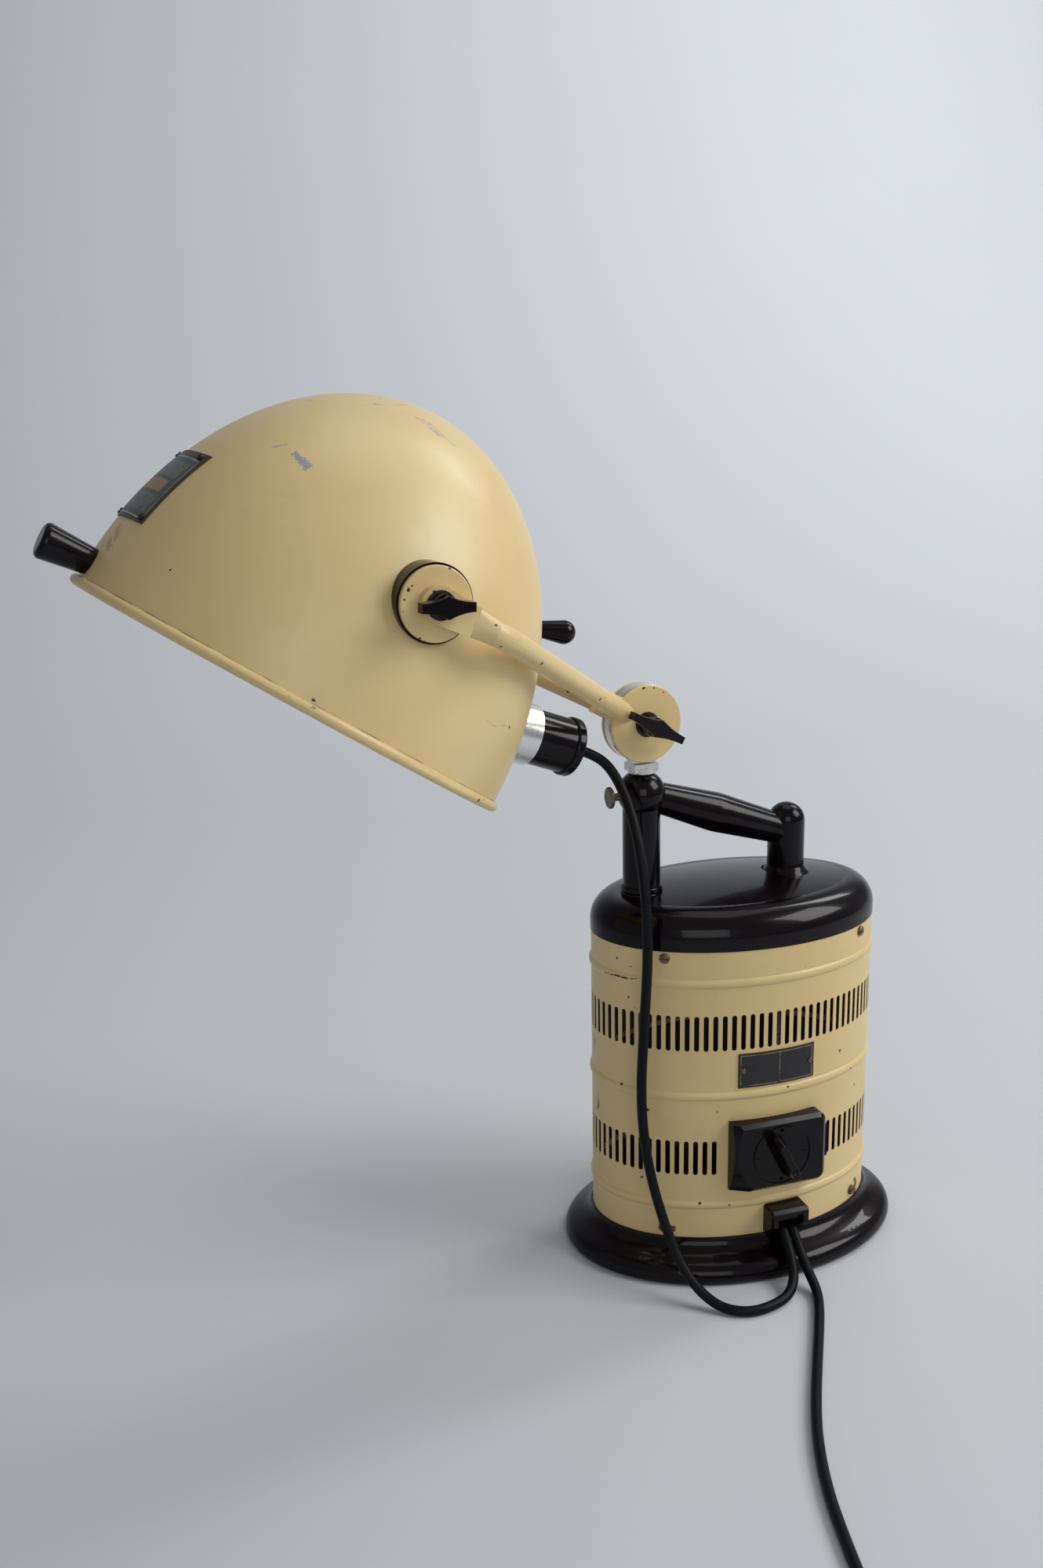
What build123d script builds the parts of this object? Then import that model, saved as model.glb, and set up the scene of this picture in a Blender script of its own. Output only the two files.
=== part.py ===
from build123d import *
import math
import os

os.makedirs("parts", exist_ok=True)

# Driving dimensions, in millimetres and degrees.
# Origin: centre of the foot on the floor. +X to the rear column, +Y to the back, +Z up.

# Oval ventilated housing
BODY_A = 98.5
BODY_B = 65.0
SHELL_WALL = 1.2
SHELL_BOTTOM = 25.0
SHELL_TOP = 224.0
BEAD_LIFT = 1.0
BEAD_IN = 22.5
BEAD_HALF_WIDTH = 3.0
BEAD_HEIGHT = 1.4
SLOT_LENGTH = 24.0
SLOT_WIDTH = 3.2
SLOT_COUNT = 86
SLOT_BAND_LIFT = 4.9
SLOT_START = -7.4
SCREW_X = 69.5
SCREW_R = 1.75
SCREW_HEAD_R = 3.3
SCREW_HEAD_H = 1.8
SCREW_LENGTH = 6.5
UPPER_SCREW_DROP = 4.5
LOWER_SCREW_RISE = 6.3

# Foot and floor plate
FOOT_OUT = 16.4
FOOT_BULGE = 3.0
FOOT_NOSE_Z = 5.5
FOOT_SHOULDER = (16.8, 11.5)
FOOT_SWEEP = ((11.5, 14.6), (4.6, 18.6))
FOOT_TOP_OUT = 1.2
FOOT_LEDGE = 10.5
FOOT_LEDGE_TOP = 10.0
FOOT_SOLE_IN = 8.0
PLATE_OUT = 4.5
PLATE_GAP = 0.5
PLATE_T = 2.0
PLATE_Z = 4.0
PLATE_SCREW_IN = 7.5
PLATE_SCREW_L = 5.0
PAN_MARGIN = 2.6
PAN_DEPTH_MARGIN = 6.0
PAN_CORNER = 6.0
SPIGOT_T = 3.0
SPIGOT_GAP = 0.2
SPIGOT_H = 13.0

# Domed cap
CAP_OUT = 0.5
CAP_SKIRT = 6.2
CAP_ROUND = 18.2
CAP_CROWN = 5.0
CAP_WALL = 3.8

# Columns, ball and handle
FRONT_X = -66.0
REAR_X = 38.4
COLUMN_R = 12.2
FRONT_SEAT_SINK = 1.9
REAR_SEAT_RISE = 1.6
BOSS_WALL = 1.2
BOSS_H = 12.0
RING_OUT = 1.3
RING_H = 8.0
COLLAR_OUT = 3.6
COLLAR_H = 4.0
BALL_R = 15.5
BALL_RISE = 68.9
BALL_FLAT = 14.1
REAR_COLUMN_H = 48.8
HANDLE_DROP = 19.5
HANDLE_END_R = 10.0
HANDLE_MID_R = 13.0
HANDLE_MID_X = -14.0
HANDLE_MID_HALF = 2.0
STUD_R = 2.5
TIE_R = 3.0
TIE_GRIP = 18.0
NUT_R = 5.8
NUT_H = 2.6
NUT_CLEAR = 2.8

# Swivel and its thumb screw
SWIVEL_ANGLE = 6.35
SPINDLE_R = 5.0
SPINDLE_DROP = 31.4
THUMB_DROP = 1.0
THUMB_REACH = 20.5
COIN_R = 7.0
COIN_T = 2.5
COIN_NOTCHES = 12
NOTCH_R = 0.7
RUN_GAP = 0.06
FACE_GAP = 0.05

# Arm joint and fork
NECK_RISE = 7.5
JOINT_R = 24.8
KNUCKLE_T = 8.0
NECK_R = 9.0
NECK_H = 3.4
NECK_SCOOP_R = 13.0
WASHER_IN = 0.6
WASHER_T = 1.0
DISC_T = 2.2
DISC_BEVEL = 0.5
DISC_TAB = 16.0
TAB_BEYOND = 9.7
BOLT_R = 4.0
BOLT_HEAD_R = 8.5
BOLT_HEAD_H = 5.0
BOLT_REACH = 12.0
ARM_BEYOND_HOOD = 81.7
ARM_ANGLE = 28.87
TUBE_R = 6.5
ARM_BEND_S = 41.0
ARM_MEET = 12.2522
ARM_BEND_R = 20.0
FLAT_START = 20.0
FLAT_END = 33.0

# Hood, in its own frame: Z along its axis, rim at zero, X towards the base
HOOD_R = 130.9
HOOD_H = 177.6
HOOD_WALL = 1.0
RIM_R = 3.0
HOOD_ANGLE = 33.2
PIVOT_U = 75.0
DRUM_R = 20.3
DRUM_STAND = 8.35
DRUM_GAP = 0.1
PIVOT_DISC_R = 19.2
PIVOT_DISC_T = 2.5
DISC_EDGE = 0.9
EYE_R = 9.7
EYE_T = 5.0
PIVOT_WASHER_R = 7.5
PIVOT_WASHER_T = 1.2
SHAFT_R = 4.0
SHAFT_REACH = 8.0
SOCKET_ANGLE = 12.3
SOCKET_U = 43.9
SOCKET_SINK = 0.5
SLEEVE_R = 19.0
SLEEVE_WALL = 1.5
SLEEVE_IN = 10.0
SLEEVE_OUT = 20.0
FLANGE_OUT = 5.5
FLANGE_T = 1.2
SOCKET_R = 17.2
SOCKET_IN = 2.0
SOCKET_OUT = 45.5
SOCKET_RING_R = 18.6
SOCKET_RING_T = 6.0
GRIP_U = 12.0
GRIP_ANGLE = 5.0
GRIP_LENGTH = 28.0
GRIP_ROOT_R = 7.0
GRIP_TIP_R = 10.0
GRIP_TIP_ROUND = 3.0
GRIP_SCREW_R = 2.0
GRIP_SCREW_HEAD_R = 4.5
GRIP_SCREW_BITE = 13.0
BADGE_W = 66.0
BADGE_LOW = 41.0
BADGE_HIGH = 89.0
BADGE_T = 0.8
BADGE_SCREW_IN = 3.0
BADGE_SCREW_R = 1.0
BADGE_SCREW_HEAD_R = 2.0
DISH_R = 66.0
DISH_RISE = 14.0
DISH_DROP = 51.6
DISH_T = 1.0
DISH_STUD_R = 2.5
DISH_NUT_R = 6.0
DISH_PAD_R = 8.0
DISH_PAD_H = 8.0

# Wing knobs
WING_HUB_WALL = 2.2
WING_BLADE_H = 7.0
WING_SINK = 2.0
PIVOT_WING_HUB_H = 6.0
JOINT_WING_HUB_H = 10.0
PIVOT_WING_LENGTH = 28.0
JOINT_WING_LENGTH = 40.0
PIVOT_WING_TURN = 2.0
JOINT_WING_TURN = -29.0
WING_MIDDLE = 5.9
WING_WAIST = 3.3
WING_TIP = 2.4

# Burner carrier
BURNER_R = 9.0
BURNER_LENGTH = 116.0
BURNER_U = 44.0
ELECTRODE_R = 6.0
ELECTRODE_LENGTH = 7.0
HUB_R = 9.0
HUB_HALF = 14.0
BAR_T = 4.0
BAR_W = 8.0
CLIP_IN = 13.0
CLIP_WALL = 4.0
CLIP_W = 10.0
LEVER_R = 2.5
LEVER_ANGLE = 13.0
LEVER_BEND_IN = 19.0
LEVER_BEND_R = 20.0
LEVER_SWING = 9.0
LEVER_GAP = 0.7
LEVER_END_GAP = 1.2
KNOB_ANGLE = 22.0
KNOB_START = 26.0
KNOB_REACH = 28.0
KNOB_GRIP = 10.0
KNOB_ROOT_R = 4.5
KNOB_BALL_R = 7.4
KNOB_FLARE = 14.0

# Switch
SWITCH_X = 1.6
SWITCH_LOWERED = 3.0
SWITCH_W = 65.5
SWITCH_H = 48.0
SWITCH_STAND = 8.0
SWITCH_CORNER = 6.0
SWITCH_BEVEL = 2.4
SWITCH_LAND_R = 36.0
SWITCH_LAND_AT = 5.0
SWITCH_FALL = 38.0
SWITCH_LUG_OUT = 2.5
SWITCH_LUG_H = 22.0
SWITCH_LUG_RISE = 2.0
SWITCH_LUG_BACK = 4.0
DIAL_R = 20.5
DIAL_GROOVE_W = 0.9
DIAL_GROOVE_D = 0.7
DIAL_SCREW_AT = 17.2
DIAL_SCREW_R = 1.2
DIAL_MARK = (3.0, 0.6, 0.3)
DIAL_MARK_AT = 16.5
SWITCH_SPINDLE_R = 3.0
SWITCH_SPINDLE_L = 28.0
SWITCH_BODY_W = 38.0
SWITCH_BODY_H = 34.0
SWITCH_BODY_D = 25.0
KNOB_LENGTH = 34.0
KNOB_WIDTH = 11.0
KNOB_H = 13.0
KNOB_TAPER = 13.0
KNOB_EDGE = 0.8
KNOB_TURN = 27.0
KNOB_DIMPLE_R = 2.2
KNOB_DIMPLE_IN = 9.0

# Plates and the cord inlet
NAME_X = 1.5
NAME_RISE = 17.0
NAME_W = 54.0
NAME_H = 23.5
NAME_T = 0.8
RIVET_IN = 3.0
RIVET_R = 1.2
RIVET_HEAD_R = 1.9
RIVET_HEAD_H = 0.8
INLET_X = 7.1
INLET_W = 27.0
INLET_RISE = 20.4
INLET_LIP_RISE = 9.0
INLET_STAND = 13.0
INLET_STUB = 9.0
INLET_STUB_LENGTH = 12.0
INLET_STUB_H = 16.0
INLET_GAP = 0.3
INLET_EDGE = 1.2
INLET_HOLLOW_MARGIN = 4.5
INLET_HOLLOW_D = 4.0
CORD_R = 3.2
CORD_SIDES = 8
BUSH_GAP = 0.25
CORD_APART = 0.1
CORD_LEAVE = 14.0
CORD_ARRIVE = 24.0
CORD_RUN_IN = 40.0

# Ballast choke and terminals
CORE_H = 68.0
CORE_D = 38.0
LIMB = 26.0
YOKE_LIMB = 13.0
COIL_BUILD = 12.0
COIL_CORNER = 6.0
STRAP_T = 1.5
STRAP_W = 24.0
STRAP_FOOT = 8.0
STRAP_SCREW_OUT = 5.0
TERMINAL_X = 64.0
TERMINAL_W = 28.0
TERMINAL_D = 34.0
TERMINAL_H = 16.0
TERMINAL_STEP = 11.0
TERMINAL_GROOVE_W = 7.5
TERMINAL_GROOVE_D = 5.0
TERMINAL_SCREW_R = 2.4
TERMINAL_SCREW_H = 3.5
TERMINAL_SCREW_AT = 8.0
BLOCK_SCREW_Y = 11.0

# Mains lead put away in a coil
COIL_X = -150.7
COIL_Y = -378.9
COIL_START_ANGLE = -15.7
COIL_OUT_R = 47.0
COIL_GAP = 0.6
COIL_TURNS = 3
COIL_UPPER_QUARTERS = 7
UPPER_SPREAD = 2.8
TAIL_FLAT = 45.0
TAIL_DROP = 45.0
PLUG_W = 35.0
PLUG_T = 14.0
PLUG_L = 36.0
PLUG_ROUND = 5.0
PLUG_BEVEL = 3.0
RELIEF_L = 24.0
RELIEF_OUT = 2.3
RELIEF_TIP_OUT = 0.8
PIN_R = 2.0
PIN_L = 19.0
PIN_ROOT_R = 1.5
PIN_ROOT_L = 10.0
PIN_SPACING = 18.6
PIN_POINT = 0.8

# Routes of the cords, chosen by hand along the photographed curves
HEAD_CORD_ROUTE = [
    (-91.3, -8.6, 337.8),
    (-86.3, -22.7, 321.7),
    (-84.6, -38.0, 300.0),
    (-83.6, -48.5, 268.0),
    (-83.5, -53.0, 228.0),
    (-86.5, -53.5, 180.0),
    (-89.0, -53.0, 130.0),
    (-86.0, -56.0, 88.0),
    (-79.5, -67.0, 50.0),
    (-71.5, -84.0, 19.0),
    (-58.5, -102.0, 4.0),
    (-42.0, -114.5, 3.3),
    (-22.0, -113.0, 3.5),
    (-6.0, -105.5, 4.6),
]
MAINS_CORD_ROUTE = [
    (11.0, -107.5, 3.6),
    (2.0, -126.5, 3.3),
    (-10.5, -148.0, 3.4),
    (-27.0, -175.5, 3.3),
    (-42.0, -201.0, 3.4),
    (-56.0, -227.0, 3.3),
    (-69.0, -257.0, 3.4),
    (-79.5, -289.0, 3.3),
]

LOW = (Align.CENTER, Align.CENTER, Align.MIN)
MIDDLE_LOW_Y = (Align.CENTER, Align.MAX, Align.MIN)

# Sizes that fit to others
RING_R = COLUMN_R + RING_OUT
COLLAR_R = COLUMN_R + COLLAR_OUT
BOSS_R = COLLAR_R + BOSS_WALL
WASHER_R = JOINT_R - WASHER_IN
DISC_IN = KNUCKLE_T / 2 + WASHER_T + FACE_GAP
DISC_OUT = DISC_IN + DISC_T
CLIP_R = BURNER_R + CLIP_WALL
CLIP_AT = BURNER_LENGTH / 2 - CLIP_IN
BAR_HALF = CLIP_AT + CLIP_W / 2
CORE_W = REAR_X - FRONT_X - 2 * (NUT_R + NUT_CLEAR + PAN_MARGIN + STRAP_FOOT)
BUSH_R = CORD_R + BUSH_GAP
CORD_SPACING = 2 * BUSH_R + CORD_APART
COIL_PITCH = 2 * CORD_R + COIL_GAP

# Heights of the housing and what stands on it
BEAD_MIDDLE_Z = (SHELL_BOTTOM + SHELL_TOP) / 2 + BEAD_LIFT
BEAD_STEP = (SHELL_TOP - SHELL_BOTTOM) / 2 - BEAD_IN
SLOT_BAND_STEP = BEAD_STEP / 2 + SLOT_BAND_LIFT
UPPER_SCREW_Z = SHELL_TOP - UPPER_SCREW_DROP
LOWER_SCREW_Z = SHELL_BOTTOM + LOWER_SCREW_RISE
CAP_FLAT_Z = SHELL_TOP + CAP_SKIRT + CAP_ROUND
FRONT_SEAT_Z = CAP_FLAT_Z - FRONT_SEAT_SINK
REAR_SEAT_Z = CAP_FLAT_Z + REAR_SEAT_RISE
BALL_Z = FRONT_SEAT_Z + BALL_RISE
BALL_FLAT_Z = BALL_Z + BALL_FLAT
SPINDLE_BOTTOM_Z = BALL_Z - SPINDLE_DROP
REAR_TOP_Z = REAR_SEAT_Z + REAR_COLUMN_H
REAR_BALL_Z = REAR_TOP_Z - COLUMN_R
HANDLE_REAR_Z = REAR_TOP_Z - HANDLE_DROP
JOINT_Z = BALL_FLAT_Z + NECK_RISE + JOINT_R

# Places on and in the housing
PLATE_TOP_Z = PLATE_Z + PLATE_T
PLATE_SCREW_X = BODY_A - PLATE_SCREW_IN
CORE_X = (FRONT_X + REAR_X) / 2
SWITCH_Z = BEAD_MIDDLE_Z - BEAD_STEP / 2 - SWITCH_LOWERED
SWITCH_FACE_Y = -BODY_B - SWITCH_STAND
NAME_Z = BEAD_MIDDLE_Z + NAME_RISE
INLET_LOW_Z = SHELL_BOTTOM + INLET_GAP
INLET_LIP_Z = SHELL_BOTTOM + INLET_LIP_RISE
INLET_TOP_Z = SHELL_BOTTOM + INLET_RISE
INLET_FACE_Y = -BODY_B - INLET_STAND
INLET_BACK_Y = -BODY_B + INLET_STUB
CORD_FLOOR_Z = CORD_R + 0.1

# The hood, its pivot and the fork
HOOD_AT_PIVOT = HOOD_R * math.sqrt(1 - (PIVOT_U / HOOD_H) ** 2)
DRUM_FACE = HOOD_AT_PIVOT + DRUM_STAND
EYE_IN = DRUM_FACE + DRUM_GAP + PIVOT_DISC_T
ARM_OFFSET = EYE_IN + EYE_T / 2
EYE_OUT = EYE_IN + EYE_T
ARM_LENGTH = HOOD_R + ARM_BEYOND_HOOD
ARM_SLOPE = math.degrees(math.atan2(ARM_OFFSET, ARM_LENGTH - ARM_MEET - ARM_BEND_S))
PIVOT_WASHER_OUT = EYE_OUT + PIVOT_WASHER_T
SOCKET_E = HOOD_R * math.sqrt(1 - (SOCKET_U / HOOD_H) ** 2) - SOCKET_SINK
DISH_EDGE_U = HOOD_H - DISH_DROP
BAR_U = BURNER_U + CLIP_R + BAR_T / 2
HEAD = Location((FRONT_X, 0, 0), (0, 0, SWIVEL_ANGLE))
PIVOT_X = -ARM_LENGTH * math.cos(math.radians(ARM_ANGLE))
PIVOT_Z = JOINT_Z + ARM_LENGTH * math.sin(math.radians(ARM_ANGLE))
ARM = HEAD * Location((PIVOT_X, 0, PIVOT_Z), (0, ARM_ANGLE, 0))
HOOD = HEAD * Location((PIVOT_X, 0, PIVOT_Z), (0, HOOD_ANGLE, 0)) * Pos(0, 0, -PIVOT_U)


def save(name, piece):
    piece.label = name
    export_step(piece, f"parts/{name}.step")


def group(pieces):
    """One compound of the pieces, each solid kept by itself."""
    return Compound(children=[solid for piece in pieces for solid in piece.solids()])


def body_ellipse(inset):
    """The housing's oval, drawn in by inset."""
    return Ellipse(BODY_A - inset, BODY_B - inset)


def oval_slab(inset, low, high):
    return Pos(0, 0, low) * extrude(body_ellipse(inset), high - low)


def oval_edge(inset=0.0):
    return Edge.make_ellipse(BODY_A - inset, BODY_B - inset)


def turned(*outline):
    """A solid of revolution about Z from a closed outline of curves in the XZ plane."""
    return revolve(Plane.XZ * make_face(list(outline)), Axis.Z)


def dome_arc(r, low, rise):
    """An arc with its centre on the axis, from radius r at low up to low + rise on the axis."""
    ball = (r**2 + rise**2) / (2 * rise)
    share = math.degrees(math.asin(r / ball))
    return CenterArc((0, low + rise - ball), ball, 90 - share, share)


def turned_corners(points):
    return revolve(Plane.XZ * make_face(Polyline(*points, close=True)), Axis.Z)


def on_oval(x, side, z, inset=0.0):
    """A place on the oval wall at x, with its local Z pointing outwards and local Y up."""
    a, b = BODY_A - inset, BODY_B - inset
    y = side * b * math.sqrt(1 - (x / a) ** 2)
    normal = Vector(x / a**2, y / b**2, 0).normalized()
    return Plane(origin=(x, y, z), x_dir=Vector(-normal.Y, normal.X, 0), z_dir=normal).location


def screw_places(z):
    return [on_oval(x, side, z) for x in (-SCREW_X, SCREW_X) for side in (-1, 1)]


def screw_holes(z):
    return [place * Pos(0, 0, -15) * Cylinder(SCREW_R, 30, align=LOW) for place in screw_places(z)]


def pan_screw(head_r, head_h, shank_r, length):
    """A pan-head screw with its seat at zero and its shank below."""
    head = Cylinder(head_r, head_h, align=LOW)
    head = fillet(head.faces().sort_by(Axis.Z)[-1].edges(), 0.55 * head_h)
    slot = Pos(0, 0, head_h) * Box(2.2 * head_r, 0.28 * head_r, 0.9 * head_h)
    return head + Pos(0, 0, -length) * Cylinder(shank_r, length, align=LOW) - slot


def beaded_line(offset):
    """The housing's wall line in section, with its three rolled beads."""
    edges = []
    x = BODY_A + offset
    z = SHELL_BOTTOM
    for step in (-1, 0, 1):
        middle = BEAD_MIDDLE_Z + step * BEAD_STEP
        edges.append(Line((x, z), (x, middle - BEAD_HALF_WIDTH)))
        crest = (x + BEAD_HEIGHT, middle)
        edges.append(ThreePointArc((x, middle - BEAD_HALF_WIDTH), crest, (x, middle + BEAD_HALF_WIDTH)))
        z = middle + BEAD_HALF_WIDTH
    edges.append(Line((x, z), (x, SHELL_TOP)))
    return edges


def housing_solid():
    """The housing's outside as one solid, for what is shaped to it."""
    solid = oval_slab(0, 0, SHELL_TOP)
    for step in (-1, 0, 1):
        middle = BEAD_MIDDLE_Z + step * BEAD_STEP
        solid += oval_slab(-BEAD_HEIGHT, middle - BEAD_HALF_WIDTH, middle + BEAD_HALF_WIDTH)
    return solid


def slot_places():
    """Where the slots go: equal steps round the wall, in two bands, apart from those behind the switch."""
    edge = oval_edge()
    places = []
    for band in (-1, 1):
        z = BEAD_MIDDLE_Z + band * SLOT_BAND_STEP
        for k in range(SLOT_COUNT):
            along = (0.5 + (SLOT_START + k * edge.length / SLOT_COUNT) / edge.length) % 1.0
            p, t = edge.position_at(along), edge.tangent_at(along)
            behind_switch = abs(p.X - SWITCH_X) < SWITCH_W / 2 + SLOT_WIDTH and p.Y < 0
            if band > 0 or not behind_switch:
                places.append(Plane(origin=(p.X, p.Y, z), x_dir=t, z_dir=Vector(t.Y, -t.X, 0)))
    return places


def vent_shell():
    """Rolled sheet-steel oval with three beads and two bands of upright slots."""
    outer, inner = beaded_line(0), beaded_line(-SHELL_WALL)
    ends = [Line((BODY_A - SHELL_WALL, z), (BODY_A, z)) for z in (SHELL_BOTTOM, SHELL_TOP)]
    shell = sweep(Plane.XZ * make_face(outer + inner + ends), path=Wire([oval_edge()]))
    depth = 6 * SHELL_WALL
    blank = extrude(SlotOverall(SLOT_LENGTH, SLOT_WIDTH, rotation=90), depth)
    cuts = [place * Pos(0, 0, -depth / 2) * blank for place in slot_places()]
    opening = Box(SWITCH_BODY_W + 1, BODY_B / 2, SWITCH_BODY_H + 1)
    cuts.append(Pos(SWITCH_X, -BODY_B, SWITCH_Z) * opening)
    inlet = Box(INLET_W - 6, BODY_B / 2, 2 * (INLET_STUB_H + 2 * INLET_GAP))
    cuts.append(Pos(INLET_X, -BODY_B, SHELL_BOTTOM) * inlet)
    cuts += [place * Cylinder(RIVET_R, 8) for place in name_rivet_places()]
    return shell.cut(*cuts, *screw_holes(UPPER_SCREW_Z), *screw_holes(LOWER_SCREW_Z))


def foot_ring():
    """Moulded oval foot: rounded rim, hollow sweep up to the housing, and a spigot inside it."""
    sole, nose = BODY_A + FOOT_OUT, BODY_A + FOOT_OUT + FOOT_BULGE
    spigot_out = BODY_A - SHELL_WALL - SPIGOT_GAP
    spigot_in = spigot_out - SPIGOT_T
    spigot_top = SHELL_BOTTOM + SPIGOT_H
    ledge = BODY_A - FOOT_LEDGE
    recess = BODY_A + PLATE_OUT + PLATE_GAP
    sweep_points = [(BODY_A + out, z) for out, z in (FOOT_SHOULDER, *FOOT_SWEEP)]
    rim = Spline((sole, 0), (nose, FOOT_NOSE_Z), *sweep_points, (BODY_A + FOOT_TOP_OUT, SHELL_BOTTOM))
    inside = Polyline((BODY_A + FOOT_TOP_OUT, SHELL_BOTTOM), (spigot_out, SHELL_BOTTOM),
                      (spigot_out, spigot_top), (spigot_in, spigot_top), (spigot_in, FOOT_LEDGE_TOP),
                      (ledge, FOOT_LEDGE_TOP), (ledge, PLATE_TOP_Z), (recess, PLATE_TOP_Z),
                      (BODY_A + FOOT_SOLE_IN, 0), (sole, 0))
    ring = sweep(Plane.XZ * make_face([rim, *inside.edges()]), path=Wire([oval_edge()]))
    gap = Pos(INLET_X, INLET_BACK_Y, SHELL_BOTTOM) * Box(INLET_W - 6, 30, 30, align=MIDDLE_LOW_Y)
    return ring.cut(gap, *screw_holes(LOWER_SCREW_Z), *plate_screw_holes())


def plate_screw_places():
    """Screws up through the floor plate: two into the foot and two into the terminal block."""
    rim = [(side * PLATE_SCREW_X, 0) for side in (-1, 1)]
    block = [(TERMINAL_X, side * BLOCK_SCREW_Y) for side in (-1, 1)]
    return [Pos(x, y, PLATE_Z) for x, y in rim + block]


def plate_screw_holes():
    depth = PLATE_SCREW_L + 0.5
    return [place * Pos(0, 0, -1) * Cylinder(SCREW_R, depth + 1, align=LOW) for place in plate_screw_places()]


def pan(inset, low, high):
    """The floor plate's sunk middle, drawn in by inset, between two heights."""
    length = CORE_W + 2 * (STRAP_FOOT + PAN_MARGIN - inset)
    width = CORE_D + 2 * (PAN_DEPTH_MARGIN - inset)
    return Pos(CORE_X, 0, low) * extrude(RectangleRounded(length, width, PAN_CORNER - inset), high - low)


def bottom_plate():
    """Pressed floor plate: its rim let into the foot, its sunk pan flat on the floor under the choke."""
    plate = oval_slab(-PLATE_OUT, PLATE_Z, PLATE_TOP_Z) + pan(0, 0, PLATE_TOP_Z)
    plate -= pan(PLATE_T, PLATE_T, PLATE_TOP_Z + 1)
    for x in (FRONT_X, REAR_X):
        plate -= Pos(x, 0, 0) * Cylinder(TIE_R, 20)
    return plate.cut(*plate_screw_holes(), *strap_screw_holes())


def plate_screws():
    screw = Rot(180, 0, 0) * pan_screw(SCREW_HEAD_R, SCREW_HEAD_H, SCREW_R, PLATE_SCREW_L)
    return group([place * screw for place in plate_screw_places()])


def domed_slab(inset, low, high, radius):
    """An oval slab with its upper edge rounded off."""
    slab = oval_slab(inset, low, high)
    return fillet(slab.faces().sort_by(Axis.Z)[-1].edges(), radius)


def top_cap():
    """Domed moulding with a spigot inside the housing and a boss under each column."""
    spigot = SHELL_WALL + SPIGOT_GAP
    dome = domed_slab(-CAP_OUT, SHELL_TOP, CAP_FLAT_Z, CAP_ROUND)
    long, short = BODY_A - CAP_ROUND - 0.3, BODY_B - CAP_ROUND - 0.3
    crown_low = CAP_FLAT_Z - 2
    crown = turned(Line((0, crown_low), (long, crown_low)), Line((long, crown_low), (long, CAP_FLAT_Z)),
                   dome_arc(long, CAP_FLAT_Z, CAP_CROWN), Line((0, CAP_FLAT_Z + CAP_CROWN), (0, crown_low)))
    solid_cap = dome + scale(crown, by=(1, short / long, 1))
    hollow_low = SHELL_TOP - SPIGOT_H - 1
    hollow = domed_slab(spigot + SPIGOT_T, hollow_low, CAP_FLAT_Z - CAP_WALL, CAP_ROUND - CAP_WALL)
    cap = solid_cap + oval_slab(spigot, SHELL_TOP - SPIGOT_H, SHELL_TOP + 1) - hollow
    for x, seat, r in ((FRONT_X, FRONT_SEAT_Z, RING_R), (REAR_X, REAR_SEAT_Z, COLLAR_R)):
        boss = Pos(x, 0, seat - BOSS_H) * Cylinder(BOSS_R, CAP_FLAT_Z - seat + BOSS_H - 1, align=LOW)
        cap += boss & oval_slab(spigot + 1, 0, CAP_FLAT_Z)
        cap -= Pos(x, 0, seat) * Cylinder(r + 0.1, 20, align=LOW)
        cap -= Pos(x, 0, seat - BOSS_H - 1) * Cylinder(TIE_R, 60, align=LOW)
    return cap.cut(*screw_holes(UPPER_SCREW_Z))


def shell_screws():
    screw = pan_screw(SCREW_HEAD_R, SCREW_HEAD_H, SCREW_R, SCREW_LENGTH)
    places = screw_places(UPPER_SCREW_Z) + screw_places(LOWER_SCREW_Z)
    return group([place * screw for place in places])


def front_column():
    """Column with a double bead at its foot, hollowed at the top for the ball."""
    bead_h = RING_H / 2
    shaft_h = BALL_Z - BALL_R / 2 - FRONT_SEAT_Z
    column = Pos(FRONT_X, 0, FRONT_SEAT_Z) * Cylinder(COLUMN_R, shaft_h, align=LOW)
    bead = Cylinder(RING_R, bead_h, align=LOW)
    bead = fillet(bead.edges().filter_by(GeomType.CIRCLE), 0.32 * bead_h)
    for k in range(2):
        column += Pos(FRONT_X, 0, FRONT_SEAT_Z + k * bead_h) * bead
    column -= Pos(FRONT_X, 0, BALL_Z) * Sphere(BALL_R)
    column -= Pos(FRONT_X, 0, FRONT_SEAT_Z) * Cylinder(TIE_R, TIE_GRIP, align=LOW)
    return column - Pos(FRONT_X, 0, SPINDLE_BOTTOM_Z - 1) * Cylinder(SPINDLE_R + RUN_GAP, 60, align=LOW)


def handle_axis():
    """The handle's line: a place at the ball's centre with its local Z along it, and its length."""
    start, end = Vector(FRONT_X, 0, BALL_Z), Vector(REAR_X, 0, HANDLE_REAR_Z)
    along = end - start
    return Plane(origin=start, x_dir=(0, 1, 0), z_dir=along.normalized()).location, along.length


def column_ball():
    axis, _ = handle_axis()
    ball = Pos(FRONT_X, 0, BALL_Z) * Sphere(BALL_R)
    ball -= Pos(FRONT_X, 0, BALL_FLAT_Z) * Box(40, 40, 20, align=LOW)
    ball -= Pos(FRONT_X, 0, SPINDLE_BOTTOM_Z) * Cylinder(SPINDLE_R + RUN_GAP, 80, align=LOW)
    ball -= axis * Pos(0, 0, BALL_R / 2) * Cylinder(STUD_R, BALL_R, align=LOW)
    return ball - thumb_place() * Pos(0, 0, -BALL_R) * Cylinder(STUD_R + RUN_GAP, 40, align=LOW)


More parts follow.
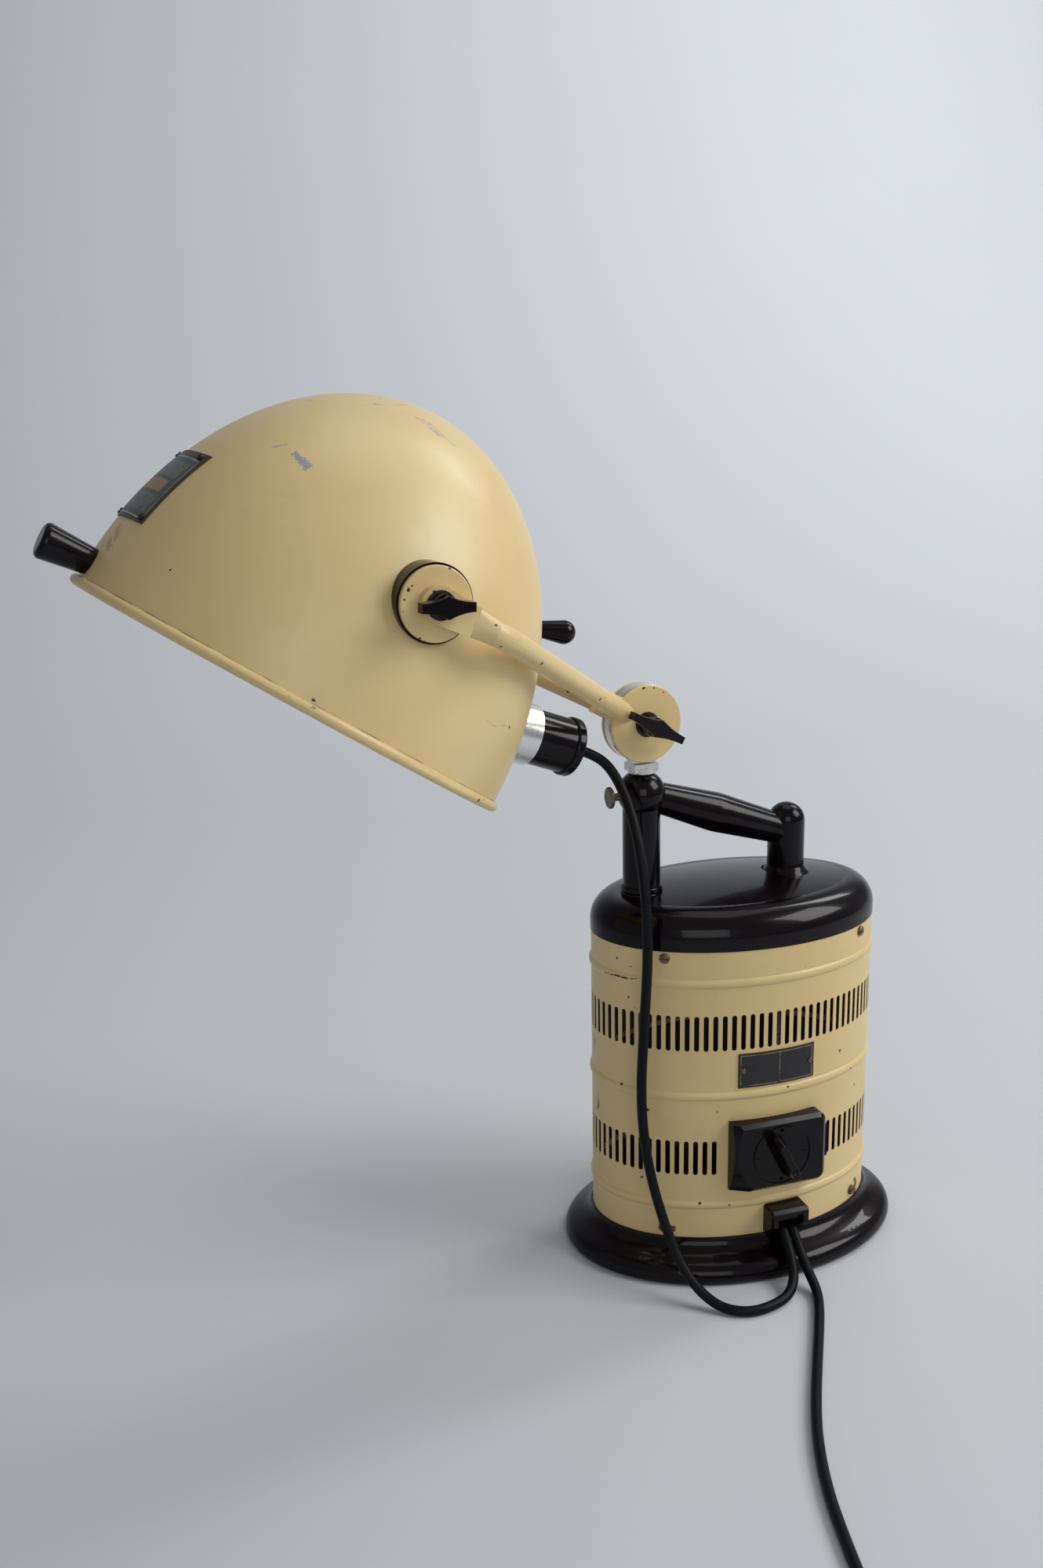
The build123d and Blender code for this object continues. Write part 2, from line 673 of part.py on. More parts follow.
def rear_column():
    """Column with a coned collar at its foot and a round top."""
    seat = REAR_SEAT_Z
    column = turned_corners([(0, seat), (COLLAR_R, seat), (COLLAR_R, seat + 0.3 * COLLAR_H),
                             (COLUMN_R + 1.2, seat + COLLAR_H), (COLUMN_R, seat + 1.5 * COLLAR_H),
                             (COLUMN_R, REAR_BALL_Z), (0, REAR_BALL_Z)])
    column += Pos(0, 0, REAR_BALL_Z) * Sphere(COLUMN_R)
    axis, length = handle_axis()
    column = Pos(REAR_X, 0, 0) * column
    column -= Pos(REAR_X, 0, REAR_SEAT_Z) * Cylinder(TIE_R, TIE_GRIP, align=LOW)
    return column - axis * Pos(0, 0, length - COLUMN_R - 2) * Cylinder(STUD_R, COLUMN_R, align=LOW)


def handle_grip():
    """Turned double-taper bar, fitted to the ball and the rear column."""
    axis, length = handle_axis()
    middle = (HANDLE_MID_X - FRONT_X) / (REAR_X - FRONT_X) * length
    start, end = BALL_R / 2 + 2, length - 4
    bar = turned_corners([(STUD_R, start), (HANDLE_END_R, start), (HANDLE_MID_R, middle - HANDLE_MID_HALF),
                          (HANDLE_MID_R, middle + HANDLE_MID_HALF), (HANDLE_END_R, end), (STUD_R, end)])
    bar = axis * bar
    # The seams of the ball and the front column are turned away from the bar.
    seams_away = Rot(0, 0, 180)
    bar -= Pos(FRONT_X, 0, BALL_Z) * seams_away * Sphere(BALL_R)
    bar -= Pos(FRONT_X, 0, FRONT_SEAT_Z) * seams_away * Cylinder(COLUMN_R, BALL_RISE, align=LOW)
    rear_low = REAR_SEAT_Z - COLUMN_R
    bar -= Pos(REAR_X, 0, rear_low) * Cylinder(COLUMN_R, REAR_BALL_Z - rear_low, align=LOW)
    return bar - Pos(REAR_X, 0, REAR_BALL_Z) * Sphere(COLUMN_R)


def handle_stud():
    axis, length = handle_axis()
    return axis * Pos(0, 0, BALL_R / 2) * Cylinder(STUD_R, length - BALL_R / 2 - 2, align=LOW)


def tie_rods():
    """Rods from under the floor plate up into each column."""
    low = PLATE_Z - NUT_H
    rods = []
    for x, seat in ((FRONT_X, FRONT_SEAT_Z), (REAR_X, REAR_SEAT_Z)):
        rods.append(Pos(x, 0, low) * Cylinder(TIE_R, seat + TIE_GRIP - low, align=LOW))
    return group(rods)


def tie_nuts():
    nut = extrude(RegularPolygon(NUT_R, 6), NUT_H) - Cylinder(TIE_R, 20)
    return group([Pos(x, 0, PLATE_Z - NUT_H) * nut for x in (FRONT_X, REAR_X)])


def thumb_place():
    """At the swivel axis, with local Z towards the thumb screw's head."""
    height = BALL_Z - THUMB_DROP
    return Plane(origin=(FRONT_X, 0, height), x_dir=(0, 1, 0), z_dir=(-1, 0, 0)).location


def thumb_screw():
    """Coin-headed clamp screw in the ball's side."""
    start = SPINDLE_R + 2 * RUN_GAP
    shank = Pos(0, 0, start) * Cylinder(STUD_R, THUMB_REACH - start, align=LOW)
    coin = Cylinder(COIN_R, COIN_T, align=LOW)
    coin = chamfer(coin.edges().filter_by(GeomType.CIRCLE), 0.5)
    notch = Pos(COIN_R + 0.2, 0, 0) * Cylinder(NOTCH_R, 3 * COIN_T)
    coin = coin.cut(*[Rot(0, 0, k * 360 / COIN_NOTCHES) * notch for k in range(COIN_NOTCHES)])
    return thumb_place() * (shank + Pos(0, 0, THUMB_REACH) * coin)


def knuckle():
    """Cast disc with its neck and the swivel spindle."""
    disc = Pos(0, 0, JOINT_Z) * Rot(90, 0, 0) * Cylinder(JOINT_R, KNUCKLE_T)
    disc = chamfer(disc.edges().filter_by(GeomType.CIRCLE), 0.8)
    base = BALL_FLAT_Z + FACE_GAP
    foot = Pos(0, 0, base) * Cylinder(NECK_R, NECK_H, align=LOW)
    web = Pos(0, 0, base + 1) * Box(2 * NECK_R - 1, 1.6 * NECK_R, JOINT_Z - JOINT_R - base + 8, align=LOW)
    for side in (-1, 1):
        scoop_at = KNUCKLE_T / 2 + NECK_SCOOP_R
        scoop = Pos(0, side * scoop_at, base + NECK_H + NECK_SCOOP_R - 0.6) * Rot(0, 90, 0)
        web -= scoop * Cylinder(NECK_SCOOP_R, 60)
        clear_y = side * (KNUCKLE_T / 2 + 15)
        web -= Pos(0, clear_y, JOINT_Z - JOINT_R - 1) * Box(60, 30, 40, align=LOW)
    spindle = Pos(0, 0, SPINDLE_BOTTOM_Z) * Cylinder(SPINDLE_R, base + 1 - SPINDLE_BOTTOM_Z, align=LOW)
    body = disc + foot + web + spindle
    return HEAD * (body - Pos(0, 0, JOINT_Z) * Rot(90, 0, 0) * Cylinder(BOLT_R + RUN_GAP, 60))


def joint_place(side):
    """At the arm joint's axis, with local Z outwards to that side."""
    return HEAD * Pos(0, 0, JOINT_Z) * Rot(-90 * side, 0, 0)


def friction_washers():
    ring = Cylinder(WASHER_R, WASHER_T, align=LOW) - Cylinder(BOLT_R + RUN_GAP, 60)
    return group([joint_place(side) * Pos(0, 0, KNUCKLE_T / 2) * ring for side in (-1, 1)])


def fork_arm():
    """One arm in the fork's frame: X from the pivot to the joint, Y outwards."""
    disc = Pos(ARM_LENGTH, DISC_IN, 0) * Rot(-90, 0, 0) * Cylinder(JOINT_R, DISC_T, align=LOW)
    tab_l = JOINT_R + TAB_BEYOND
    tab = Box(tab_l, DISC_T, DISC_TAB, align=(Align.MIN, Align.MIN, Align.CENTER))
    plate = disc + Pos(ARM_LENGTH - tab_l, DISC_IN, 0) * tab
    plate = chamfer(plate.faces().sort_by(Axis.Y)[-1].edges(), DISC_BEVEL)
    slope = math.radians(ARM_SLOPE)
    end_s = ARM_BEND_S + (ARM_OFFSET + 4) / math.tan(slope)
    path = FilletPolyline((FLAT_END, ARM_OFFSET), (ARM_BEND_S, ARM_OFFSET), (end_s, -4), radius=ARM_BEND_R)
    section = Plane(origin=(FLAT_END, ARM_OFFSET, 0), x_dir=(0, 1, 0), z_dir=(1, 0, 0))
    tube = sweep(section * Circle(TUBE_R), path=path)
    inside = Box(120, 40, 60, align=(Align.CENTER, Align.MAX, Align.CENTER))
    tube -= Pos(ARM_LENGTH, DISC_OUT - 1, 0) * inside
    flat = Plane(origin=(FLAT_START, ARM_OFFSET, 0), x_dir=(0, 1, 0), z_dir=(1, 0, 0))
    neck = EYE_R + (TUBE_R - EYE_R) * FLAT_START / FLAT_END
    flattened = loft([flat * Ellipse(EYE_T / 2, neck), section * Ellipse(TUBE_R, TUBE_R)])
    eye = Pos(0, ARM_OFFSET, 0) * Rot(90, 0, 0) * Cylinder(EYE_R, EYE_T)
    past = FLAT_START + 1
    taper = Polyline((0, 0.1 - EYE_R), (past, -neck), (past, neck), (0, EYE_R - 0.1), close=True)
    link = Pos(0, ARM_OFFSET, 0) * extrude(Plane.XZ * make_face(taper), EYE_T / 2, both=True)
    arm = plate + tube + flattened + eye + link
    arm -= Pos(ARM_LENGTH, 0, 0) * Rot(90, 0, 0) * Cylinder(BOLT_R, 60)
    return arm - Pos(0, ARM_OFFSET, 0) * Rot(90, 0, 0) * Cylinder(SHAFT_R + RUN_GAP, 60)


def pivot_place(side):
    """At the hood's pivot axis, with local Z outwards to that side."""
    return HEAD * Pos(PIVOT_X, 0, PIVOT_Z) * Rot(-90 * side, 0, 0)


def pivot_disc(side):
    """Friction plate between the eye of the arm and the drum on the hood."""
    low = EYE_IN - PIVOT_DISC_T
    disc = Cylinder(PIVOT_DISC_R, PIVOT_DISC_T, align=LOW)
    disc = fillet(disc.faces().sort_by(Axis.Z)[-1].edges(), DISC_EDGE)
    return pivot_place(side) * Pos(0, 0, low) * (disc - Cylinder(SHAFT_R + RUN_GAP, 60))


def pivot_washers():
    ring = Cylinder(PIVOT_WASHER_R, PIVOT_WASHER_T, align=LOW) - Cylinder(SHAFT_R + RUN_GAP, 60)
    return group([pivot_place(side) * Pos(0, 0, EYE_OUT) * ring for side in (-1, 1)])


def joint_bolt():
    """Through bolt with a domed head on the far side and a washer on the near side."""
    head = Cylinder(BOLT_HEAD_R, BOLT_HEAD_H, align=LOW)
    head = fillet(head.faces().sort_by(Axis.Z)[-1].edges(), 0.7 * BOLT_HEAD_H)
    far = joint_place(1) * Pos(0, 0, DISC_OUT) * head
    shank = Pos(0, 0, -DISC_OUT) * Cylinder(BOLT_R, 2 * DISC_OUT + BOLT_REACH, align=LOW)
    washer = Pos(0, 0, DISC_OUT) * Cylinder(2 * BOLT_R, PIVOT_WASHER_T, align=LOW)
    return far + joint_place(-1) * (shank + washer)


def wing_knob(length, hub_h, bore, depth):
    """Moulded wing knob: a round hub and a two-bladed bar with a lozenge middle, seat at zero."""
    hub = Cylinder(bore + WING_HUB_WALL, hub_h, align=LOW)
    half = length / 2
    sides = []
    for x, y in ((1, 1), (-1, 1), (-1, -1), (1, -1)):
        tip, middle = (x * half, y * WING_TIP), (0, y * WING_MIDDLE)
        sides.append(ThreePointArc(tip, (x * half / 2, y * WING_WAIST), middle))
    ends = [Line((x * half, -WING_TIP), (x * half, WING_TIP)) for x in (-1, 1)]
    blade = extrude(make_face(sides + ends), WING_BLADE_H)
    blade = fillet(blade.faces().sort_by(Axis.Z)[-1].edges(), 0.5)
    knob = hub + Pos(0, 0, hub_h - WING_SINK) * blade
    return knob - Cylinder(bore + RUN_GAP, depth, align=LOW)


def pivot_wing(side):
    knob = wing_knob(PIVOT_WING_LENGTH, PIVOT_WING_HUB_H, SHAFT_R, SHAFT_REACH + 0.3)
    seat = Pos(0, 0, PIVOT_WASHER_OUT + FACE_GAP)
    return pivot_place(side) * seat * Rot(0, 0, side * PIVOT_WING_TURN) * knob


def joint_wing():
    knob = wing_knob(JOINT_WING_LENGTH, JOINT_WING_HUB_H, BOLT_R, BOLT_REACH - PIVOT_WASHER_T + 0.3)
    seat = Pos(0, 0, DISC_OUT + PIVOT_WASHER_T + FACE_GAP)
    return joint_place(-1) * seat * Rot(0, 0, JOINT_WING_TURN) * knob


def hood_solid(inset):
    """The hood's outer form, drawn in by inset, as a solid half egg."""
    r, h = HOOD_R - inset, HOOD_H - inset
    arc = Edge.make_ellipse(r, h, start_angle=0, end_angle=90)
    return turned(Line((0, 0), (r, 0)), arc, Line((0, h), (0, 0)))


def socket_place():
    """On the hood's rear wall, with local Z out along the socket."""
    a = math.radians(SOCKET_ANGLE)
    way = (math.cos(a), 0, math.sin(a))
    return Plane(origin=(SOCKET_E, 0, SOCKET_U), x_dir=(0, 1, 0), z_dir=way).location


def grip_place():
    """On the hood's front wall just above the rim, with local Z out along the grip."""
    a = math.radians(GRIP_ANGLE)
    e = -HOOD_R * math.sqrt(1 - (GRIP_U / HOOD_H) ** 2)
    return Plane(origin=(e, 0, GRIP_U), x_dir=(0, 1, 0), z_dir=(-math.cos(a), 0, -math.sin(a))).location


def badge_screw_places():
    """At the badge's corners, square to the hood."""
    places = []
    for u in (BADGE_LOW + BADGE_SCREW_IN, BADGE_HIGH - BADGE_SCREW_IN):
        r = HOOD_R * math.sqrt(1 - (u / HOOD_H) ** 2)
        for side in (-1, 1):
            a = math.pi + side * (BADGE_W / 2 - BADGE_SCREW_IN) / HOOD_R
            e, y = r * math.cos(a), r * math.sin(a)
            normal = Vector(e / HOOD_R**2, y / HOOD_R**2, u / HOOD_H**2).normalized()
            across = (math.sin(a), -math.cos(a), 0)
            places.append(Plane(origin=(e, y, u), x_dir=across, z_dir=normal).location)
    return places


def wall_reach(angle):
    """How far the hood's outside is from the pivot, at an angle above the horizontal."""
    a = math.radians(angle)
    square = (math.cos(a) / HOOD_R) ** 2 + (math.sin(a) / HOOD_H) ** 2
    straight = 2 * PIVOT_U * math.sin(a) / HOOD_H**2
    rest = (PIVOT_U / HOOD_H) ** 2 - 1
    return (-straight + math.sqrt(straight**2 - 4 * square * rest)) / (2 * square)


def lever_bend():
    """How far from the pivot the lever is bent up, inside the hood."""
    return wall_reach(LEVER_ANGLE) - LEVER_BEND_IN


def lever_crossing():
    """The angle at which the bent lever passes through the hood's wall."""
    lean = math.radians(KNOB_ANGLE - LEVER_ANGLE)
    return KNOB_ANGLE - math.degrees(math.asin(lever_bend() * math.sin(lean) / wall_reach(LEVER_ANGLE)))


def lever_slot():
    """Upright slot in the rear wall that the lever swings in."""
    reach = wall_reach(LEVER_ANGLE)
    swing = LEVER_SWING + math.degrees((LEVER_R + LEVER_END_GAP) / reach)
    corners = [(0, PIVOT_U)]
    for side in (-1, 1):
        a = math.radians(lever_crossing() + side * swing)
        corners.append((1.5 * reach * math.cos(a), PIVOT_U + 1.5 * reach * math.sin(a)))
    wedge = make_face(Polyline(*corners, close=True))
    block = extrude(Plane.XZ * wedge, LEVER_R + LEVER_GAP, both=True)
    return block - Pos(0, 0, PIVOT_U) * Rot(90, 0, 0) * Cylinder(reach - 30, 60)


def hood_shell():
    """Spun steel hood with a rolled rim."""
    r, h = HOOD_R - HOOD_WALL, HOOD_H - HOOD_WALL
    outer = Edge.make_ellipse(HOOD_R, HOOD_H, start_angle=0, end_angle=90)
    inner = Edge.make_ellipse(r, h, start_angle=0, end_angle=90)
    shell = turned(outer, Line((0, HOOD_H), (0, h)), inner, Line((r, 0), (HOOD_R, 0)))
    shell += revolve(Plane.XZ * Pos(HOOD_R, 0) * Circle(RIM_R), Axis.Z)
    cuts = [Pos(0, 0, PIVOT_U) * Rot(90, 0, 0) * Cylinder(SHAFT_R, 2 * HOOD_R + 20), lever_slot()]
    cuts.append(socket_place() * Pos(0, 0, -20) * Cylinder(SLEEVE_R, 40, align=LOW))
    cuts.append(grip_place() * Pos(0, 0, -15) * Cylinder(GRIP_SCREW_R, 30, align=LOW))
    cuts += [place * Cylinder(BADGE_SCREW_R, 10) for place in badge_screw_places()]
    return HOOD * shell.cut(*cuts)


def cross_shaft():
    """Shaft right through the hood: its ends carry the drums, the fork and the wing knobs."""
    return HOOD * Pos(0, 0, PIVOT_U) * Rot(90, 0, 0) * Cylinder(SHAFT_R, 2 * (PIVOT_WASHER_OUT + SHAFT_REACH))


def pivot_drum(side):
    """Moulded spacer drum, its back shaped to the hood."""
    back = 0.7 * DRUM_FACE
    drum = Pos(0, 0, back) * Cylinder(DRUM_R, DRUM_FACE - back, align=LOW) - Cylinder(SHAFT_R, 400)
    return HOOD * (Pos(0, 0, PIVOT_U) * Rot(-90 * side, 0, 0) * drum - hood_solid(0))


def front_grip():
    """Tapered moulded grip on the hood's front edge."""
    root, shoulder = -6, GRIP_LENGTH - GRIP_TIP_ROUND
    face_r = GRIP_TIP_R - GRIP_TIP_ROUND
    grip = turned(Line((0, root), (GRIP_ROOT_R, root)), Line((GRIP_ROOT_R, root), (GRIP_TIP_R, shoulder)),
                  RadiusArc((GRIP_TIP_R, shoulder), (face_r, GRIP_LENGTH), -GRIP_TIP_ROUND),
                  Line((face_r, GRIP_LENGTH), (0, GRIP_LENGTH)), Line((0, GRIP_LENGTH), (0, root)))
    grip -= Pos(0, 0, -15) * Cylinder(GRIP_SCREW_R, 15 + GRIP_SCREW_BITE, align=LOW)
    return HOOD * (grip_place() * grip - hood_solid(0))


def grip_screw():
    """Screw from inside the hood into the grip."""
    low = -HOOD_WALL - 3
    shank = grip_place() * Pos(0, 0, low) * Cylinder(GRIP_SCREW_R, GRIP_SCREW_BITE - low, align=LOW)
    head = grip_place() * Pos(0, 0, low - 1) * Cylinder(GRIP_SCREW_HEAD_R, 5, align=LOW)
    return HOOD * (shank + (head & hood_solid(HOOD_WALL)))


def badge_plate():
    """Thin plate curved to the hood above the grip."""
    window = Box(2 * HOOD_R, BADGE_W, BADGE_HIGH - BADGE_LOW, align=LOW)
    plate = (hood_solid(-BADGE_T) - hood_solid(0)) & Pos(-HOOD_R, 0, BADGE_LOW) * window
    plate = plate.solids().sort_by(Axis.X)[0]
    return HOOD * plate.cut(*[place * Cylinder(BADGE_SCREW_R, 10) for place in badge_screw_places()])


def badge_screws():
    screw = Pos(0, 0, BADGE_T) * pan_screw(BADGE_SCREW_HEAD_R, 1.2, BADGE_SCREW_R, 3.0)
    return group([HOOD * place * screw for place in badge_screw_places()])


def socket_sleeve():
    """Plated tube through the rear wall, with a flange inside."""
    bore = Pos(0, 0, -30) * Cylinder(SLEEVE_R - SLEEVE_WALL, 100, align=LOW)
    tube = Pos(0, 0, -SLEEVE_IN) * Cylinder(SLEEVE_R, SLEEVE_IN + SLEEVE_OUT, align=LOW) - bore
    collar = Pos(0, 0, -20) * Cylinder(SLEEVE_R + FLANGE_OUT, 30, align=LOW) - bore
    flange = (socket_place() * collar & hood_solid(HOOD_WALL)) - hood_solid(HOOD_WALL + FLANGE_T)
    return HOOD * (socket_place() * tube + flange)


def socket_body():
    """Moulded connector in the sleeve, where the head cord enters."""
    inside = Pos(0, 0, SOCKET_IN) * Cylinder(SLEEVE_R - SLEEVE_WALL, SLEEVE_OUT - SOCKET_IN, align=LOW)
    outside = Pos(0, 0, SLEEVE_OUT) * Cylinder(SOCKET_R, SOCKET_OUT - SLEEVE_OUT, align=LOW)
    ring = Pos(0, 0, SOCKET_OUT) * Cylinder(SOCKET_RING_R, SOCKET_RING_T, align=LOW)
    ring = fillet(ring.edges().filter_by(GeomType.CIRCLE), 1.4)
    return HOOD * socket_place() * (inside + outside + ring)


def reflector_dish():
    """Polished dish in the crown of the hood, above the burner."""
    low, high = DISH_EDGE_U, DISH_EDGE_U + DISH_RISE
    under, over = dome_arc(DISH_R, low, DISH_RISE), dome_arc(DISH_R, low + DISH_T, DISH_RISE)
    edge = Line((DISH_R, low + DISH_T), (DISH_R, low))
    return HOOD * turned(under, Line((0, high), (0, high + DISH_T)), over, edge)


def dish_stud():
    """Stud from the crown that holds the dish."""
    base = DISH_EDGE_U + DISH_RISE + DISH_T
    stud = Cylinder(DISH_STUD_R, HOOD_H - base, align=LOW) + Cylinder(DISH_NUT_R, 2, align=LOW)
    pad = Pos(0, 0, HOOD_H - DISH_PAD_H) * Cylinder(DISH_PAD_R, 2 * DISH_PAD_H, align=LOW)
    return HOOD * ((Pos(0, 0, base) * stud + pad) & hood_solid(HOOD_WALL))


def burner_yoke():
    """Rocking carrier on the cross shaft, with its lever bent up at the rear."""
    hub = Pos(0, 0, PIVOT_U) * Rot(90, 0, 0) * Cylinder(HUB_R, 2 * HUB_HALF)
    web = Pos(0, 0, BAR_U) * Box(2 * HUB_R, BAR_W, PIVOT_U - BAR_U, align=LOW)
    bar = Pos(0, 0, BAR_U) * Box(2 * BAR_HALF, BAR_W, BAR_T)
    a, b = math.radians(LEVER_ANGLE), math.radians(KNOB_ANGLE)
    root, bend, end = HUB_R - 2, lever_bend(), KNOB_START + KNOB_GRIP
    start = (root * math.cos(a), PIVOT_U + root * math.sin(a))
    corner = (bend * math.cos(a), PIVOT_U + bend * math.sin(a))
    tip = (corner[0] + end * math.cos(b), corner[1] + end * math.sin(b))
    path = Plane.XZ * FilletPolyline(start, corner, tip, radius=LEVER_BEND_R)
    way = (math.cos(a), 0, math.sin(a))
    section = Plane(origin=(start[0], 0, start[1]), x_dir=(0, 1, 0), z_dir=way)
    lever = sweep(section * Circle(LEVER_R), path=path)
    bore = Pos(0, 0, PIVOT_U) * Rot(90, 0, 0) * Cylinder(SHAFT_R + RUN_GAP, 60)
    return HOOD * (hub + web + bar + lever - bore)


def lever_knob():
    """Pear-shaped knob on the lever, behind the hood."""
    a, b, flare = (math.radians(angle) for angle in (LEVER_ANGLE, KNOB_ANGLE, KNOB_FLARE))
    corner = (lever_bend() * math.cos(a), 0, PIVOT_U + lever_bend() * math.sin(a))
    place = Plane(origin=corner, x_dir=(0, 1, 0), z_dir=(math.cos(b), 0, math.sin(b))).location
    low, high = KNOB_START, KNOB_START + KNOB_REACH
    ball_z = high - KNOB_BALL_R
    side = Line((KNOB_ROOT_R, low), (KNOB_BALL_R * math.cos(flare), ball_z - KNOB_BALL_R * math.sin(flare)))
    tip = CenterArc((0, ball_z), KNOB_BALL_R, -KNOB_FLARE, 90 + KNOB_FLARE)
    knob = turned(Line((0, low), (KNOB_ROOT_R, low)), side, tip, Line((0, high), (0, low)))
    return HOOD * place * (knob - Pos(0, 0, low) * Cylinder(LEVER_R, 2 * KNOB_GRIP))


def burner_clips():
    """Ceramic rings under the carrier bar that hold the burner."""
    ring = Rot(0, 90, 0) * Cylinder(CLIP_R, CLIP_W)
    foot = Box(CLIP_W, BAR_W, BAR_U - BAR_T / 2 - BURNER_U, align=LOW)
    clip = ring + foot - Rot(0, 90, 0) * Cylinder(BURNER_R, 2 * CLIP_W)
    return group([HOOD * Pos(side * CLIP_AT, 0, BURNER_U) * clip for side in (-1, 1)])


def quartz_burner():
    """Sealed quartz tube with rounded ends."""
    tube = Cylinder(BURNER_R, BURNER_LENGTH)
    tube = fillet(tube.edges().filter_by(GeomType.CIRCLE), 3.0)
    return HOOD * Pos(0, 0, BURNER_U) * Rot(0, 90, 0) * tube


def burner_electrodes():
    cap = Pos(0, 0, BURNER_LENGTH / 2) * Cylinder(ELECTRODE_R, ELECTRODE_LENGTH, align=LOW)
    return group([HOOD * Pos(0, 0, BURNER_U) * Rot(0, 90 * side, 0) * cap for side in (-1, 1)])


def switch_place():
    """At the middle of the switch's face, with local Z out and local Y up."""
    return Plane(origin=(SWITCH_X, SWITCH_FACE_Y, SWITCH_Z), x_dir=(1, 0, 0), z_dir=(0, -1, 0)).location


def switch_plate():
    """Moulded plate shaped to the housing: a round flat land in front that falls away at the left."""
    deep = SWITCH_STAND + BODY_B / 2
    outline = Rectangle(SWITCH_W, SWITCH_H)
    outline = fillet(outline.vertices().group_by(Axis.X)[-1], SWITCH_CORNER)
    block = extrude(outline, -deep)
    long_edges = block.faces().sort_by(Axis.Z)[-1].edges().filter_by(Axis.X)
    block = chamfer(long_edges, SWITCH_BEVEL)
    spread = deep / math.tan(math.radians(SWITCH_FALL))
    land = Cone(SWITCH_LAND_R + spread, SWITCH_LAND_R, deep, align=LOW)
    block = block & Pos(SWITCH_LAND_AT, SWITCH_LAND_AT, -deep) * land
    lug = Box(2 * SWITCH_LUG_OUT, SWITCH_LUG_H, deep - SWITCH_LUG_BACK, align=LOW)
    plate = (block + Pos(SWITCH_W / 2, SWITCH_LUG_RISE, -deep) * lug).cut(*dial_cuts())
    return switch_place() * plate - housing_solid()


def dial_cuts():
    """What is sunk in the switch's face: ring groove, two screw holes, two marks and the spindle's bore."""
    ring = Cylinder(DIAL_R, 2 * DIAL_GROOVE_D) - Cylinder(DIAL_R - DIAL_GROOVE_W, 2 * DIAL_GROOVE_D)
    cuts = [ring, Cylinder(SWITCH_SPINDLE_R + RUN_GAP, 80)]
    long, wide, deep = DIAL_MARK
    for side in (-1, 1):
        cuts.append(Pos(0, side * DIAL_SCREW_AT, 0) * Cylinder(DIAL_SCREW_R, 6))
        cuts.append(Pos(side * DIAL_MARK_AT, 0, 0) * Box(long, wide, 2 * deep))
    return cuts


def switch_body():
    """Ceramic rotary switch behind the plate, through the housing's opening."""
    place = Pos(SWITCH_X, SWITCH_BODY_D - BODY_B, SWITCH_Z)
    block = place * Box(SWITCH_BODY_W, 40, SWITCH_BODY_H, align=(Align.CENTER, Align.MAX, Align.CENTER))
    return (block & oval_slab(0, 0, SHELL_TOP)) - switch_place() * Cylinder(SWITCH_SPINDLE_R + RUN_GAP, 80)


def switch_knob():
    """Tapered oblong knob with a dimple at its pointing end, on its spindle."""
    bar = extrude(SlotOverall(KNOB_LENGTH, KNOB_WIDTH, rotation=90), KNOB_H, taper=KNOB_TAPER)
    bar = fillet(bar.faces().sort_by(Axis.Z)[-1].edges(), KNOB_EDGE)
    bar -= Pos(0, KNOB_DIMPLE_IN - KNOB_LENGTH / 2, KNOB_H + 1) * Sphere(KNOB_DIMPLE_R)
    spindle = Pos(0, 0, -SWITCH_SPINDLE_L) * Cylinder(SWITCH_SPINDLE_R, SWITCH_SPINDLE_L + 2, align=LOW)
    return switch_place() * Rot(0, 0, KNOB_TURN) * (Pos(0, 0, FACE_GAP) * bar + spindle)


def curved_plate(x, z, width, height, thick):
    """A thin plate that lies on the front of the housing."""
    skin = oval_slab(-thick, z - height / 2, z + height / 2) - oval_slab(0, 0, SHELL_TOP + 10)
    return skin & Pos(x, -BODY_B, z) * Box(width, BODY_B, height)


def name_plate():
    plate = curved_plate(NAME_X, NAME_Z, NAME_W, NAME_H, NAME_T)
    return plate.cut(*[place * Cylinder(RIVET_R, 10) for place in name_rivet_places()])


def name_rivet_places():
    return [on_oval(NAME_X + side * (NAME_W / 2 - RIVET_IN), -1, NAME_Z) for side in (-1, 1)]


def name_rivets():
    head = Pos(0, 0, NAME_T) * Cylinder(RIVET_HEAD_R, RIVET_HEAD_H, align=LOW)
    head = fillet(head.faces().sort_by(Axis.Z)[-1].edges(), 0.6 * RIVET_HEAD_H)
    shank = Pos(0, 0, -SHELL_WALL) * Cylinder(RIVET_R, SHELL_WALL + NAME_T, align=LOW)
    return group([place * (head + shank) for place in name_rivet_places()])


def inlet_front():
    """The cord openings' plane: the sloped lower front of the inlet, local Z outwards."""
    half = (INLET_LIP_Z - INLET_LOW_Z) / 2
    middle = (INLET_X, INLET_FACE_Y + half, INLET_LIP_Z - half)
    return Plane(origin=middle, x_dir=(1, 0, 0), z_dir=(0, -1, -1)).location


